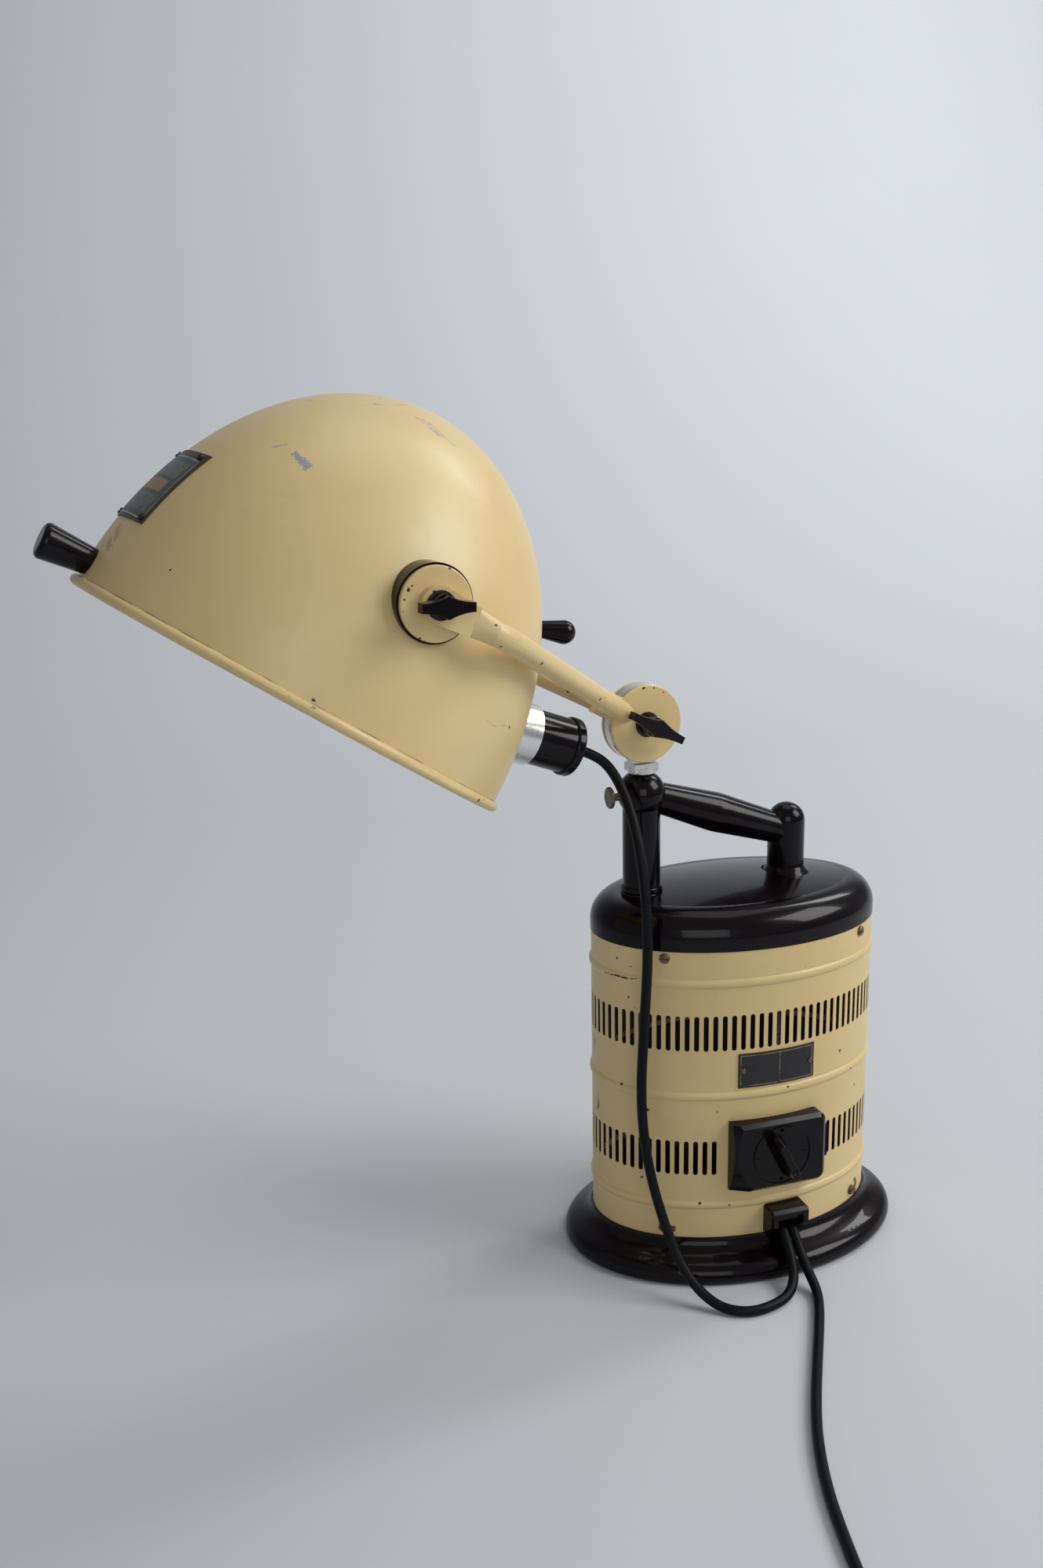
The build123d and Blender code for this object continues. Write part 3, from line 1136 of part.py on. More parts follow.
def inlet_block():
    """Moulded cord inlet: sloped lower front, hollow upper front, and a stub into the housing."""
    foot_y = INLET_FACE_Y + INLET_LIP_Z - INLET_LOW_Z
    back_y = -BODY_B + 3
    corners = [(back_y, INLET_LOW_Z), (foot_y, INLET_LOW_Z), (INLET_FACE_Y, INLET_LIP_Z)]
    corners += [(INLET_FACE_Y, INLET_TOP_Z - 2), (INLET_FACE_Y + 2, INLET_TOP_Z), (back_y, INLET_TOP_Z)]
    profile = Polyline(*corners, close=True)
    block = extrude(Plane.YZ * make_face(profile), INLET_W / 2, both=True)
    for end in (0, -1):
        block = chamfer(block.faces().sort_by(Axis.X)[end].edges(), INLET_EDGE)
    hollow_h = INLET_TOP_Z - INLET_LIP_Z - INLET_HOLLOW_MARGIN
    hollow = Box(INLET_W - 2 * INLET_HOLLOW_MARGIN, 2 * INLET_HOLLOW_D, hollow_h, align=LOW)
    block -= Pos(0, INLET_FACE_Y, INLET_LIP_Z) * hollow
    block = Pos(INLET_X, 0, 0) * block - oval_slab(0, 0, SHELL_TOP)
    stub = Box(INLET_W - 7, INLET_STUB_LENGTH, INLET_STUB_H, align=MIDDLE_LOW_Y)
    block += Pos(INLET_X, INLET_BACK_Y, INLET_LOW_Z) * stub
    bored = Pos(INLET_X, INLET_BACK_Y - 6, INLET_LOW_Z + 4) * Box(60, 60, 60, align=MIDDLE_LOW_Y)
    for side in (-1, 1):
        hole = Pos(side * CORD_SPACING / 2, 0, -20) * Cylinder(BUSH_R, 40, align=LOW)
        block -= inlet_front() * hole & bored
    return block


def cord_end_plane(side):
    """Where a cord leaves the inlet: side -1 is the head cord, +1 the mains cord."""
    return inlet_front() * Pos(side * CORD_SPACING / 2, 0, 0)


def choke_core():
    """Laminated core of the ballast choke: two windows round the middle limb."""
    core = Pos(CORE_X, 0, PLATE_T) * Box(CORE_W, CORE_D, CORE_H, align=LOW)
    window_w = (CORE_W - LIMB - 2 * YOKE_LIMB) / 2
    window = Box(window_w, 2 * CORE_D, CORE_H - 2 * YOKE_LIMB, align=LOW)
    for side in (-1, 1):
        core -= Pos(CORE_X + side * (LIMB + window_w) / 2, 0, PLATE_T + YOKE_LIMB) * window
    return core


def choke_coil():
    """Wound coil on the middle limb, with its outside clear of the outer limbs."""
    window_w = (CORE_W - LIMB - 2 * YOKE_LIMB) / 2
    build = min(COIL_BUILD, window_w - 1)
    height = CORE_H - 2 * YOKE_LIMB - 1
    outer = extrude(RectangleRounded(LIMB + 2 * build, CORE_D + 2 * COIL_BUILD, COIL_CORNER), height)
    return Pos(CORE_X, 0, PLATE_T + YOKE_LIMB + 0.5) * (outer - Box(LIMB, CORE_D, 3 * height))


def strap_screw_x():
    return [CORE_X + side * (CORE_W / 2 + STRAP_SCREW_OUT) for side in (-1, 1)]


def strap_screw_holes():
    return [Pos(x, 0, -1) * Cylinder(SCREW_R, PLATE_T + STRAP_T + 2, align=LOW) for x in strap_screw_x()]


def choke_strap():
    """Bent strap over the core, with feet screwed to the floor plate's pan."""
    strap = Box(CORE_W + 2 * STRAP_T, STRAP_W, CORE_H + STRAP_T, align=LOW)
    strap -= Box(CORE_W, CORE_D, CORE_H, align=LOW)
    strap += Box(CORE_W + 2 * STRAP_FOOT, STRAP_W, STRAP_T, align=LOW)
    strap -= Box(CORE_W, CORE_D, 2 * STRAP_T, align=LOW)
    return (Pos(CORE_X, 0, PLATE_T) * strap).cut(*strap_screw_holes())


def strap_screws():
    screw = pan_screw(SCREW_HEAD_R, SCREW_HEAD_H, SCREW_R, STRAP_T + PLATE_T)
    return group([Pos(x, 0, PLATE_T + STRAP_T) * screw for x in strap_screw_x()])


def terminal_block():
    """Ceramic block with three screw terminals."""
    block = Pos(TERMINAL_X, 0, PLATE_TOP_Z) * Box(TERMINAL_W, TERMINAL_D, TERMINAL_H, align=LOW)
    groove = Box(TERMINAL_W, TERMINAL_GROOVE_W, 2 * TERMINAL_GROOVE_D)
    for k in (-1, 0, 1):
        block -= Pos(TERMINAL_X, k * TERMINAL_STEP, PLATE_TOP_Z + TERMINAL_H) * groove
    return block.cut(*plate_screw_holes())


def terminal_screws():
    """Slotted clamp screws in the block's grooves."""
    screw = Cylinder(TERMINAL_SCREW_R, TERMINAL_SCREW_H, align=LOW)
    screw -= Pos(0, 0, TERMINAL_SCREW_H) * Box(3 * TERMINAL_SCREW_R, 0.8, 1.6)
    seat = PLATE_TOP_Z + TERMINAL_H - TERMINAL_GROOVE_D
    ends = [TERMINAL_X + side * TERMINAL_SCREW_AT for side in (-1, 1)]
    return group([Pos(x, k * TERMINAL_STEP, seat) * screw for x in ends for k in (-1, 0, 1)])


def corner_radii(points):
    """Each corner's arc is as large as its two runs allow."""
    radii = []
    for before, here, after in zip(points, points[1:], points[2:]):
        a, b = Vector(here) - Vector(before), Vector(after) - Vector(here)
        turn = math.radians(a.get_angle(b))
        radii.append(0.45 * min(a.length, b.length) / math.tan(turn / 2))
    return radii


def cord_tube(name, points):
    """A cord's plain tube along straight runs joined by tangent arcs."""
    radii = corner_radii(points)
    print(name, "radii", [round(r) for r in radii])
    path = FilletPolyline(*points, radius=radii)
    start = Vector(points[0])
    section = Plane(origin=start, z_dir=Vector(points[1]) - start) * RegularPolygon(CORD_R, CORD_SIDES)
    tube = sweep(section, path=path)
    share = tube.volume / (section.area * path.length)
    print(name, "length", round(path.length, 1), "volume share", round(share, 4))
    return tube


def head_cord_points():
    start = (HOOD * socket_place() * Pos(0, 0, SOCKET_OUT + SOCKET_RING_T)).position
    end = cord_end_plane(-1).position
    leave = (HOOD * socket_place() * Pos(0, 0, SOCKET_OUT + SOCKET_RING_T + CORD_LEAVE)).position
    arrive = (cord_end_plane(-1) * Pos(0, 0, CORD_ARRIVE)).position
    return [tuple(start), tuple(leave)] + HEAD_CORD_ROUTE + [tuple(arrive), tuple(end)]


def mains_cord_points():
    start = cord_end_plane(1).position
    leave = (cord_end_plane(1) * Pos(0, 0, CORD_ARRIVE)).position
    entry, heading = coil_nodes()[0]
    run_in = entry - heading * CORD_RUN_IN
    return [tuple(start), tuple(leave)] + MAINS_CORD_ROUTE + [tuple(run_in), tuple(entry)]


def coil_spot(turned_by, radius, z):
    """A point and its heading on the coil, turned clockwise from where the cord enters."""
    a = math.radians(COIL_START_ANGLE) - turned_by
    point = Vector(COIL_X + radius * math.cos(a), COIL_Y + radius * math.sin(a), z)
    return point, Vector(math.sin(a), -math.cos(a), 0)


def coil_nodes():
    """Points and headings each quarter turn: in on the lower layer, up, out on the upper, then the tail."""
    quarter = math.pi / 2
    inward = 4 * COIL_TURNS + 2
    step = COIL_PITCH / 4
    low, high = CORD_FLOOR_Z, CORD_FLOOR_Z + COIL_PITCH
    inner = COIL_OUT_R - inward * step
    nodes = [coil_spot(k * quarter, COIL_OUT_R - k * step, low) for k in range(inward - 1)]
    point, heading = coil_spot((inward - 1) * quarter, inner + step, (low + high) / 2)
    climb = 1.5 * COIL_PITCH / (math.pi * inner)
    nodes.append((point, (heading + Vector(0, 0, climb)).normalized()))
    for k in range(COIL_UPPER_QUARTERS + 1):
        spread = UPPER_SPREAD * min(1, k / 3)
        nodes.append(coil_spot((inward + k) * quarter, inner + k * step + spread, high))
    point, heading = nodes[-1]
    flat_end = point + heading * TAIL_FLAT
    nodes.append((flat_end, heading))
    nodes.append((flat_end + heading * TAIL_DROP - Vector(0, 0, high - PLUG_T / 2), heading))
    return nodes


def biarc(start, start_way, end, end_way):
    """Two tangent arcs between two points with given headings, or one line where both lie ahead."""
    span = end - start
    if span.cross(start_way).length < 1e-6:
        return [Edge.make_line(start, end)]
    k = 2 * (1 - start_way.dot(end_way))
    lean = span.dot(start_way + end_way)
    square = span.dot(span)
    reach = square / (2 * lean) if k < 1e-9 else (-lean + math.sqrt(lean**2 + k * square)) / k
    join = (start + start_way * reach + end - end_way * reach) * 0.5
    return [Edge.make_tangent_arc(start, start_way, join), Edge.make_tangent_arc(end, end_way * -1, join)]


def wound_path(nodes):
    edges = []
    for (a, way_a), (b, way_b) in zip(nodes, nodes[1:]):
        edges += biarc(a, way_a, b, way_b)
    return Wire(edges)


def least_gap(path, spacing=3.0):
    """The least gap of a wound tube to itself, between points over half an inner turn apart."""
    count = int(path.length / spacing)
    points = [path.position_at(k / count) for k in range(count + 1)]
    skip = int(math.pi * CORD_R * 6 / spacing)
    least = min((a - b).length for i, a in enumerate(points) for b in points[i + skip:])
    return least - 2 * CORD_R


def mains_coil(nodes):
    path = wound_path(nodes)
    start, way = nodes[0]
    section = Plane(origin=start, x_dir=(0, 0, 1), z_dir=way) * RegularPolygon(CORD_R, CORD_SIDES)
    coil = sweep(section, path=path)
    share = coil.volume / (section.area * path.length)
    print("mains_coil length", round(path.length, 1), "volume share", round(share, 4))
    print("mains_coil least gap", round(least_gap(path), 2))
    return coil


def plug_place():
    """At the end of the tail, with local Z on along the plug and local Y up."""
    point, heading = coil_nodes()[-1]
    return Plane(origin=point, x_dir=heading.cross(Vector(0, 0, 1)) * -1, z_dir=heading).location


def mains_plug():
    """Flat moulded two-pin plug with a tapered relief over the cord."""
    body = extrude(RectangleRounded(PLUG_W, PLUG_T, PLUG_ROUND), PLUG_L)
    body = chamfer(body.faces().sort_by(Axis.Z)[0].edges(), PLUG_BEVEL)
    relief = Cone(CORD_R + RELIEF_TIP_OUT, CORD_R + RELIEF_OUT, RELIEF_L + 2, align=LOW)
    relief -= Cylinder(CORD_R, RELIEF_L, align=LOW)
    plug = body + Pos(0, 0, -RELIEF_L) * relief
    for side in (-1, 1):
        plug -= Pos(side * PIN_SPACING / 2, 0, PLUG_L - PIN_ROOT_L) * Cylinder(PIN_ROOT_R, 20, align=LOW)
    return plug_place() * Pos(0, 0, RELIEF_L) * plug


def plug_pins():
    """Two round pins, each on a thinner root held in the plug."""
    pin = Cylinder(PIN_R, PIN_L, align=LOW)
    pin = chamfer(pin.faces().sort_by(Axis.Z)[-1].edges(), PIN_POINT)
    pin += Pos(0, 0, -PIN_ROOT_L) * Cylinder(PIN_ROOT_R, PIN_ROOT_L, align=LOW)
    face = plug_place() * Pos(0, 0, RELIEF_L + PLUG_L)
    return group([face * Pos(side * PIN_SPACING / 2, 0, 0) * pin for side in (-1, 1)])


def build():
    save("vent_shell", vent_shell())
    save("foot_ring", foot_ring())
    save("bottom_plate", bottom_plate())
    save("plate_screws", plate_screws())
    save("top_cap", top_cap())
    save("shell_screws", shell_screws())
    save("front_column", front_column())
    save("column_ball", column_ball())
    save("rear_column", rear_column())
    save("handle_grip", handle_grip())
    save("handle_stud", handle_stud())
    save("tie_rods", tie_rods())
    save("tie_nuts", tie_nuts())
    save("thumb_screw", thumb_screw())
    save("knuckle", knuckle())
    save("friction_washers", friction_washers())
    far_arm = fork_arm()
    save("fork_arm_far", ARM * far_arm)
    save("fork_arm_near", ARM * mirror(far_arm, about=Plane.XZ))
    save("pivot_disc_near", pivot_disc(-1))
    save("pivot_disc_far", pivot_disc(1))
    save("pivot_washers", pivot_washers())
    save("joint_bolt", joint_bolt())
    save("joint_wing_knob", joint_wing())
    save("pivot_wing_near", pivot_wing(-1))
    save("pivot_wing_far", pivot_wing(1))
    save("hood_shell", hood_shell())
    save("cross_shaft", cross_shaft())
    save("pivot_drum_near", pivot_drum(-1))
    save("pivot_drum_far", pivot_drum(1))
    save("front_grip", front_grip())
    save("grip_screw", grip_screw())
    save("badge_plate", badge_plate())
    save("badge_screws", badge_screws())
    save("socket_sleeve", socket_sleeve())
    save("socket_body", socket_body())
    save("reflector_dish", reflector_dish())
    save("dish_stud", dish_stud())
    save("burner_yoke", burner_yoke())
    save("lever_knob", lever_knob())
    save("burner_clips", burner_clips())
    save("quartz_burner", quartz_burner())
    save("burner_electrodes", burner_electrodes())
    save("switch_plate", switch_plate())
    save("switch_body", switch_body())
    save("switch_knob", switch_knob())
    save("name_plate", name_plate())
    save("name_rivets", name_rivets())
    save("inlet_block", inlet_block())
    save("choke_core", choke_core())
    save("choke_coil", choke_coil())
    save("choke_strap", choke_strap())
    save("strap_screws", strap_screws())
    save("terminal_block", terminal_block())
    save("terminal_screws", terminal_screws())
    save("head_cord", cord_tube("head_cord", head_cord_points()))
    save("mains_cord", cord_tube("mains_cord", mains_cord_points()))
    save("mains_coil", mains_coil(coil_nodes()))
    save("mains_plug", mains_plug())
    save("plug_pins", plug_pins())


build()
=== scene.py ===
import math

import bpy
from mathutils import Matrix, Vector


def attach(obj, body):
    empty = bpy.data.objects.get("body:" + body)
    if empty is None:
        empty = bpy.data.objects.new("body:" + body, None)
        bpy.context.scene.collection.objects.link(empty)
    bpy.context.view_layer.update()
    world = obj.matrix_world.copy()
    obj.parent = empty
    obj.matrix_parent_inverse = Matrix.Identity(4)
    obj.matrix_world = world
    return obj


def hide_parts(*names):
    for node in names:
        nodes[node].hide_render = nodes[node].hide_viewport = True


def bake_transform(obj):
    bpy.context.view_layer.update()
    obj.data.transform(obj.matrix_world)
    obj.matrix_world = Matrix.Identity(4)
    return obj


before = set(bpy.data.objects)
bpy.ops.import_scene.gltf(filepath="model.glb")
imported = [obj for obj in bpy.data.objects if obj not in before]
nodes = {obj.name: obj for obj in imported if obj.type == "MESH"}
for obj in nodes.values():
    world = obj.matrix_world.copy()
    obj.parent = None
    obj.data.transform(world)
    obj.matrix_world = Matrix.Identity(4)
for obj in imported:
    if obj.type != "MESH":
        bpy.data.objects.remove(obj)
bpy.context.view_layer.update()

# Sizes are in millimetres and angles in degrees, as in the part's source. What is put into the scene is
# brought to metres with MM.
MM = 0.001
HOUSING_HALF_LENGTH = 98.5
HOUSING_HALF_WIDTH = 65.0
HOUSING_SKIN = 0.35
COLUMN_X = -66
HEAD_SWIVEL = 6.35
JOINT_HEIGHT = 361.8
ARM_LENGTH = 212.6
ARM_RISE = 28.87
HOOD_TILT = 33.2
PIVOT_ABOVE_RIM = 75.0
SOCKET_OUT = 126.338
SOCKET_ABOVE_RIM = 43.9
SOCKET_DROOP = 12.3
SOCKET_END = 51.5
CORD_RADIUS = 3.2


def move(x, y, z):
    return Matrix.Translation((x, y, z))


def turn(axis, degrees):
    return Matrix.Rotation(math.radians(degrees), 4, axis)


# Frames of the lamp: the swivelling head, the hood's pivots, the middle of the hood's rim, and the socket
# where it leaves the hood.
HEAD = move(COLUMN_X, 0, 0) @ turn("Z", HEAD_SWIVEL)
PIVOT = HEAD @ move(-ARM_LENGTH * math.cos(math.radians(ARM_RISE)), 0,
                    JOINT_HEIGHT + ARM_LENGTH * math.sin(math.radians(ARM_RISE)))
HOOD = PIVOT @ turn("Y", HOOD_TILT) @ move(0, 0, -PIVOT_ABOVE_RIM)
SOCKET = HOOD @ move(SOCKET_OUT, 0, SOCKET_ABOVE_RIM) @ turn("Y", 90 - SOCKET_DROOP)


# Shaders

class Flow:
    """A shader value; sums and products on it add their own Math nodes."""

    def __init__(self, finish, socket):
        self.finish = finish
        self.socket = socket

    def maths(self, operation, *others):
        sockets = dict(enumerate((self, *others)))
        node = self.finish.add("ShaderNodeMath", {"operation": operation}, sockets)
        return Flow(self.finish, node.outputs[0])

    def __add__(self, other):
        return self.maths("ADD", other)

    def __mul__(self, other):
        return self.maths("MULTIPLY", other)

    def __sub__(self, other):
        return self.maths("SUBTRACT", other)

    def __rsub__(self, other):
        return self * -1 + other

    def __truediv__(self, other):
        return self.maths("DIVIDE", other)

    __radd__ = __add__
    __rmul__ = __mul__

    def above(self, level, soft):
        """0 below the level, 1 once it is passed by soft."""
        sockets = {0: self, 1: level, 2: level + soft}
        node = self.finish.add("ShaderNodeMapRange", {"clamp": True}, sockets)
        return Flow(self.finish, node.outputs[0])

    def below(self, level, soft):
        """1 until a little under the level, 0 from the level on."""
        return 1 - self.above(level - soft, soft)


class Finish:
    """One material: a principled shader and whatever feeds it."""

    def __init__(self, name, **settings):
        self.material = bpy.data.materials.new(name)
        self.material.use_nodes = True
        self.tree = self.material.node_tree
        self.tree.nodes.clear()
        self.out = self.add("ShaderNodeOutputMaterial")
        self.shader = self.add("ShaderNodeBsdfPrincipled")
        self.tree.links.new(self.shader.outputs[0], self.out.inputs[0])
        for socket, value in settings.items():
            self.feed(socket.replace("_", " ").title().replace("Ior", "IOR"), value)
        self.place = Flow(self, self.add("ShaderNodeTexCoord").outputs["Object"])

    def add(self, kind, settings=None, sockets=None):
        """A node of any kind: its settings are set first, then its sockets are given values or links."""
        node = self.tree.nodes.new(kind)
        for key, value in (settings or {}).items():
            setattr(node, key, value)
        for key, value in (sockets or {}).items():
            self.join(value, node.inputs[key])
        return node

    def join(self, value, socket):
        """Links a shader value to a socket, or sets a number, a colour or a direction on it."""
        if isinstance(value, Flow):
            self.tree.links.new(value.socket, socket)
        elif isinstance(value, tuple) and len(value) == 3 and socket.type == "RGBA":
            socket.default_value = (*value, 1)
        else:
            socket.default_value = value

    def feed(self, socket, value):
        self.join(value, self.shader.inputs[socket])

    def noise(self, scale, detail=4.0, roughness=0.55, stretch=None):
        place = self.place
        if stretch:
            mapping = self.add("ShaderNodeMapping", None, {"Vector": place, "Scale": stretch})
            place = Flow(self, mapping.outputs[0])
        sockets = {"Vector": place, "Scale": scale, "Detail": detail, "Roughness": roughness}
        return Flow(self, self.add("ShaderNodeTexNoise", None, sockets).outputs[0])

    def layers(self, direction, scale, distortion):
        """Even bands along one axis, for stacked sheets and wound wire."""
        sockets = {"Vector": self.place, "Scale": scale, "Distortion": distortion}
        return Flow(self, self.add("ShaderNodeTexWave", {"bands_direction": direction}, sockets).outputs[1])

    def mix(self, share, first, second):
        node = self.add("ShaderNodeMix", {"data_type": "RGBA"}, {0: share, 6: first, 7: second})
        return Flow(self, node.outputs[2])

    def distance(self, point):
        """Metres from a point given in millimetres."""
        spot = tuple(MM * v for v in point)
        node = self.add("ShaderNodeVectorMath", {"operation": "DISTANCE"}, {0: self.place, 1: spot})
        return Flow(self, node.outputs["Value"])

    def along(self, point, direction):
        """Metres from a point given in millimetres, measured along a direction."""
        spot = tuple(MM * v for v in point)
        away = self.add("ShaderNodeVectorMath", {"operation": "SUBTRACT"}, {0: self.place, 1: spot})
        sockets = {0: Flow(self, away.outputs[0]), 1: tuple(direction)}
        node = self.add("ShaderNodeVectorMath", {"operation": "DOT_PRODUCT"}, sockets)
        return Flow(self, node.outputs["Value"])

    def marks(self, spots, strokes):
        """A mask of ragged spots and scratches.

        A spot is (point, radius) and a scratch is (start, end, width), in millimetres."""
        ragged = self.noise(620, 5, 0.7) - 0.5
        mask = None
        for point, radius in spots:
            reach = self.distance(point) + ragged * (3.4 * radius * MM)
            mask = self.most(mask, reach.below(radius * MM, 0.15 * radius * MM))
        for start, end, wide in strokes:
            mask = self.most(mask, self.stroke(Vector(start), Vector(end), wide * MM, ragged))
        return mask

    def most(self, first, second):
        """The larger of two masks, of which the first may not be there yet."""
        return second if first is None else first.maths("MAXIMUM", second)

    def scattered(self, share):
        """Small ragged chips at random: a fine noise that only counts where a broad one is high."""
        fine = self.noise(210, 3, 0.6).above(0.68, 0.012)
        return fine * self.noise(16, 2).above(0.66 - 12 * share, 0.02)

    def stroke(self, start, end, wide, ragged):
        """A mask of a ragged line between two points given in millimetres, with its width in metres."""
        middle = (start + end) / 2
        half = (end - start).length * MM / 2
        tremble = ragged * (wide * 1.9)
        lengthwise = self.along(middle, (end - start).normalized())
        square = self.distance(middle).maths("POWER", 2.0) - lengthwise * lengthwise
        side = square.maths("MAXIMUM", 0.0).maths("SQRT") + tremble
        over = lengthwise.maths("ABSOLUTE") + tremble
        return side.below(wide / 2, wide * 0.12) * over.below(half, wide * 0.2)

    def inside_oval(self, a, b):
        """1 inside an upright oval of half axes a and b, in millimetres."""
        node = self.add("ShaderNodeSeparateXYZ", None, {"Vector": self.place})
        x, y = (Flow(self, node.outputs[k]) / (half * MM) for k, half in enumerate((a, b)))
        return (x * x + y * y).below(1.0, 0.002)

    def bump(self, height, strength, distance):
        sockets = {"Strength": strength, "Distance": distance, "Height": height}
        node = self.add("ShaderNodeBump", None, sockets)
        self.feed("Normal", Flow(self, node.outputs[0]))


# Widths in metres: of a crisp edge in a mask, and of the hood's rolled rim, which ends in a dirty line.
CRISP = 0.0002
RIM_ROLL = 0.0034
DIRT_STARTS = 0.0027
CREAM_DEEP = (0.655, 0.490, 0.224)
CREAM_PALE = (0.700, 0.535, 0.258)
RUBBED_BROWN = (0.40, 0.27, 0.11)
CHIPPED_TO = (0.040, 0.025, 0.016)
RIM_METAL = (0.27, 0.255, 0.225)
RIM_DIRT = (0.10, 0.062, 0.028)
# Near-black for the housing's inner face: painted shade.
INNER_PAINTED_SHADE = (0.028, 0.024, 0.020)


def on_hood(point):
    """A place given in the hood's own frame, as a point of the lamp."""
    return tuple(HOOD @ Vector(point))


def hood_way(direction):
    return HOOD.to_3x3() @ Vector(direction)


def oblong(side, end, half_wide, half_high):
    """1 inside an oblong, of which half the width and half the height are given in millimetres.

    side and end say how far a point is from its middle."""
    return side.below(half_wide * MM, CRISP) * end.below(half_high * MM, CRISP)


def cream_enamel(name, wear=(), chips=0.0, rim=None, painted_shade_inside=False):
    """Old cream stove enamel, slightly uneven, worn along a rim, and near-black inside where it is told to
    be, as painted shade.

    wear lists (colour, spots, strokes): where the enamel is off or stained, and what shows there."""
    f = Finish(name, coat_weight=0.10, coat_roughness=0.24)
    broad = f.noise(7, 3)
    orange_peel = f.noise(330, 3)
    cream = f.mix(broad.above(0.38, 0.26), CREAM_DEEP, CREAM_PALE)
    rubbed = f.noise(38, 7, 0.7).above(0.54, 0.24)
    colour = f.mix(rubbed * 0.16, cream, RUBBED_BROWN)
    worn = f.scattered(chips)
    colour = f.mix(worn, colour, CHIPPED_TO)
    for under, spots, strokes in wear:
        bare = f.marks(spots, strokes)
        colour = f.mix(bare, colour, under)
        worn = f.most(worn, bare)
    if rim:
        edge = f.along(*rim)
        bare = edge.maths("ABSOLUTE").below(RIM_ROLL, 0.0005) * f.noise(120, 6, 0.7).above(0.63, 0.03)
        colour = f.mix(bare, colour, RIM_METAL)
        worn = f.most(worn, bare)
        seam = edge.above(DIRT_STARTS, CRISP) * edge.below(RIM_ROLL, CRISP)
        seam = seam * f.noise(60, 4).above(0.42, 0.2)
        colour = f.mix(seam * 0.75, colour, RIM_DIRT)
    # Painted shade: the housing's unpainted inside, seen through the slots, is made near-black.
    if painted_shade_inside:
        inside = f.inside_oval(HOUSING_HALF_LENGTH - HOUSING_SKIN, HOUSING_HALF_WIDTH - HOUSING_SKIN)
        colour = f.mix(inside, colour, INNER_PAINTED_SHADE)
    f.feed("Base Color", colour)
    f.feed("Roughness", 0.36 + orange_peel * 0.10 + rubbed * 0.06 + worn * 0.22)
    f.bump(orange_peel * 0.25 - worn * 1.2 + f.noise(60, 2) * 0.6, 0.10, 0.0006)
    return f.material


def brown_bakelite(name, red=0.35, dust=0.10, skin=0.07):
    """Pressed bakelite: purple-black, red-brown where it is thin or worn, with a polished skin.

    red and dust say how strong the red clouds and the pale haze are, and skin how rough the polish is."""
    purple_black = (0.0026, 0.0012, 0.0022)
    red_brown = (0.012, 0.0030, 0.0040)
    pale_dust = (0.045, 0.037, 0.037)
    f = Finish(name, coat_weight=0.26, coat_roughness=skin, specular_ior_level=0.09)
    cloud = f.noise(26, 5, 0.6)
    fine = f.noise(700, 4)
    colour = f.mix(cloud.above(0.46, 0.3) * red, purple_black, red_brown)
    haze = f.noise(60, 7, 0.65).above(0.52, 0.35) * dust
    f.feed("Base Color", f.mix(haze, colour, pale_dust))
    f.feed("Roughness", 0.20 + cloud * 0.10 + haze * 0.4)
    f.bump(fine * 0.25 + f.noise(110, 3) * 0.6, 0.035, 0.0005)
    return f.material


def plated(name, colour=(0.66, 0.65, 0.62), rough=0.16, dull=(0.40, 0.37, 0.32)):
    """Nickel plate with dull clouds and hair scratches round it."""
    f = Finish(name, metallic=1.0)
    cloud = f.noise(70, 6, 0.65)
    hair = f.noise(900, 2, 0.5, (1, 1, 0.06))
    pits = f.noise(500, 2).above(0.69, 0.03)
    f.feed("Base Color", f.mix(cloud.above(0.55, 0.3) * 0.55 + pits * 0.3, colour, dull))
    f.feed("Roughness", rough + cloud * 0.18 + hair * 0.08)
    f.bump(hair * 0.4 - pits, 0.06, 0.0003)
    return f.material


def cast_alloy(name):
    """Bare cast aluminium, faced on the lathe and greyed."""
    f = Finish(name, metallic=1.0)
    grain = f.noise(620, 5, 0.6)
    cloud = f.noise(45, 5)
    faced = (0.62, 0.61, 0.59)
    greyed = (0.40, 0.39, 0.37)
    f.feed("Base Color", f.mix(cloud.above(0.45, 0.3), faced, greyed))
    f.feed("Roughness", 0.26 + grain * 0.22)
    f.bump(grain, 0.18, 0.0003)
    return f.material


def aged_metal(name, bright, dark, rust=0.5, rough=0.35):
    """A small fitting that has darkened, with rust or tarnish in patches."""
    f = Finish(name, metallic=1.0)
    patch = f.noise(260, 6, 0.7)
    mask = patch.above(0.62 - 0.24 * rust, 0.16)
    f.feed("Base Color", f.mix(mask, bright, dark))
    f.feed("Metallic", 1 - mask * 0.7)
    f.feed("Roughness", rough + mask * 0.4)
    f.bump(patch, 0.25, 0.0003)
    return f.material


def cord_sheath(name):
    """Black rubber sheath: matt, with faint dust and a slightly uneven skin."""
    f = Finish(name, specular_ior_level=0.15)
    skin = f.noise(900, 4)
    dust = f.noise(120, 6, 0.7).above(0.52, 0.3)
    rubber_black = (0.0028, 0.0034, 0.0042)
    dust_grey = (0.022, 0.022, 0.022)
    f.feed("Base Color", f.mix(dust * 0.16, rubber_black, dust_grey))
    f.feed("Roughness", 0.42 + dust * 0.22 + skin * 0.08)
    f.bump(skin, 0.12, 0.0004)
    return f.material


def glazed_ceramic(name):
    """Off-white glazed ceramic with a few brown specks."""
    f = Finish(name, coat_weight=0.4, coat_roughness=0.1, roughness=0.3)
    tone = f.noise(80, 5)
    speck = f.noise(500, 2).above(0.70, 0.03)
    glaze = f.mix(tone, (0.70, 0.67, 0.60), (0.78, 0.76, 0.70))
    f.feed("Base Color", f.mix(speck, glaze, (0.25, 0.18, 0.12)))
    f.bump(tone, 0.08, 0.0005)
    return f.material


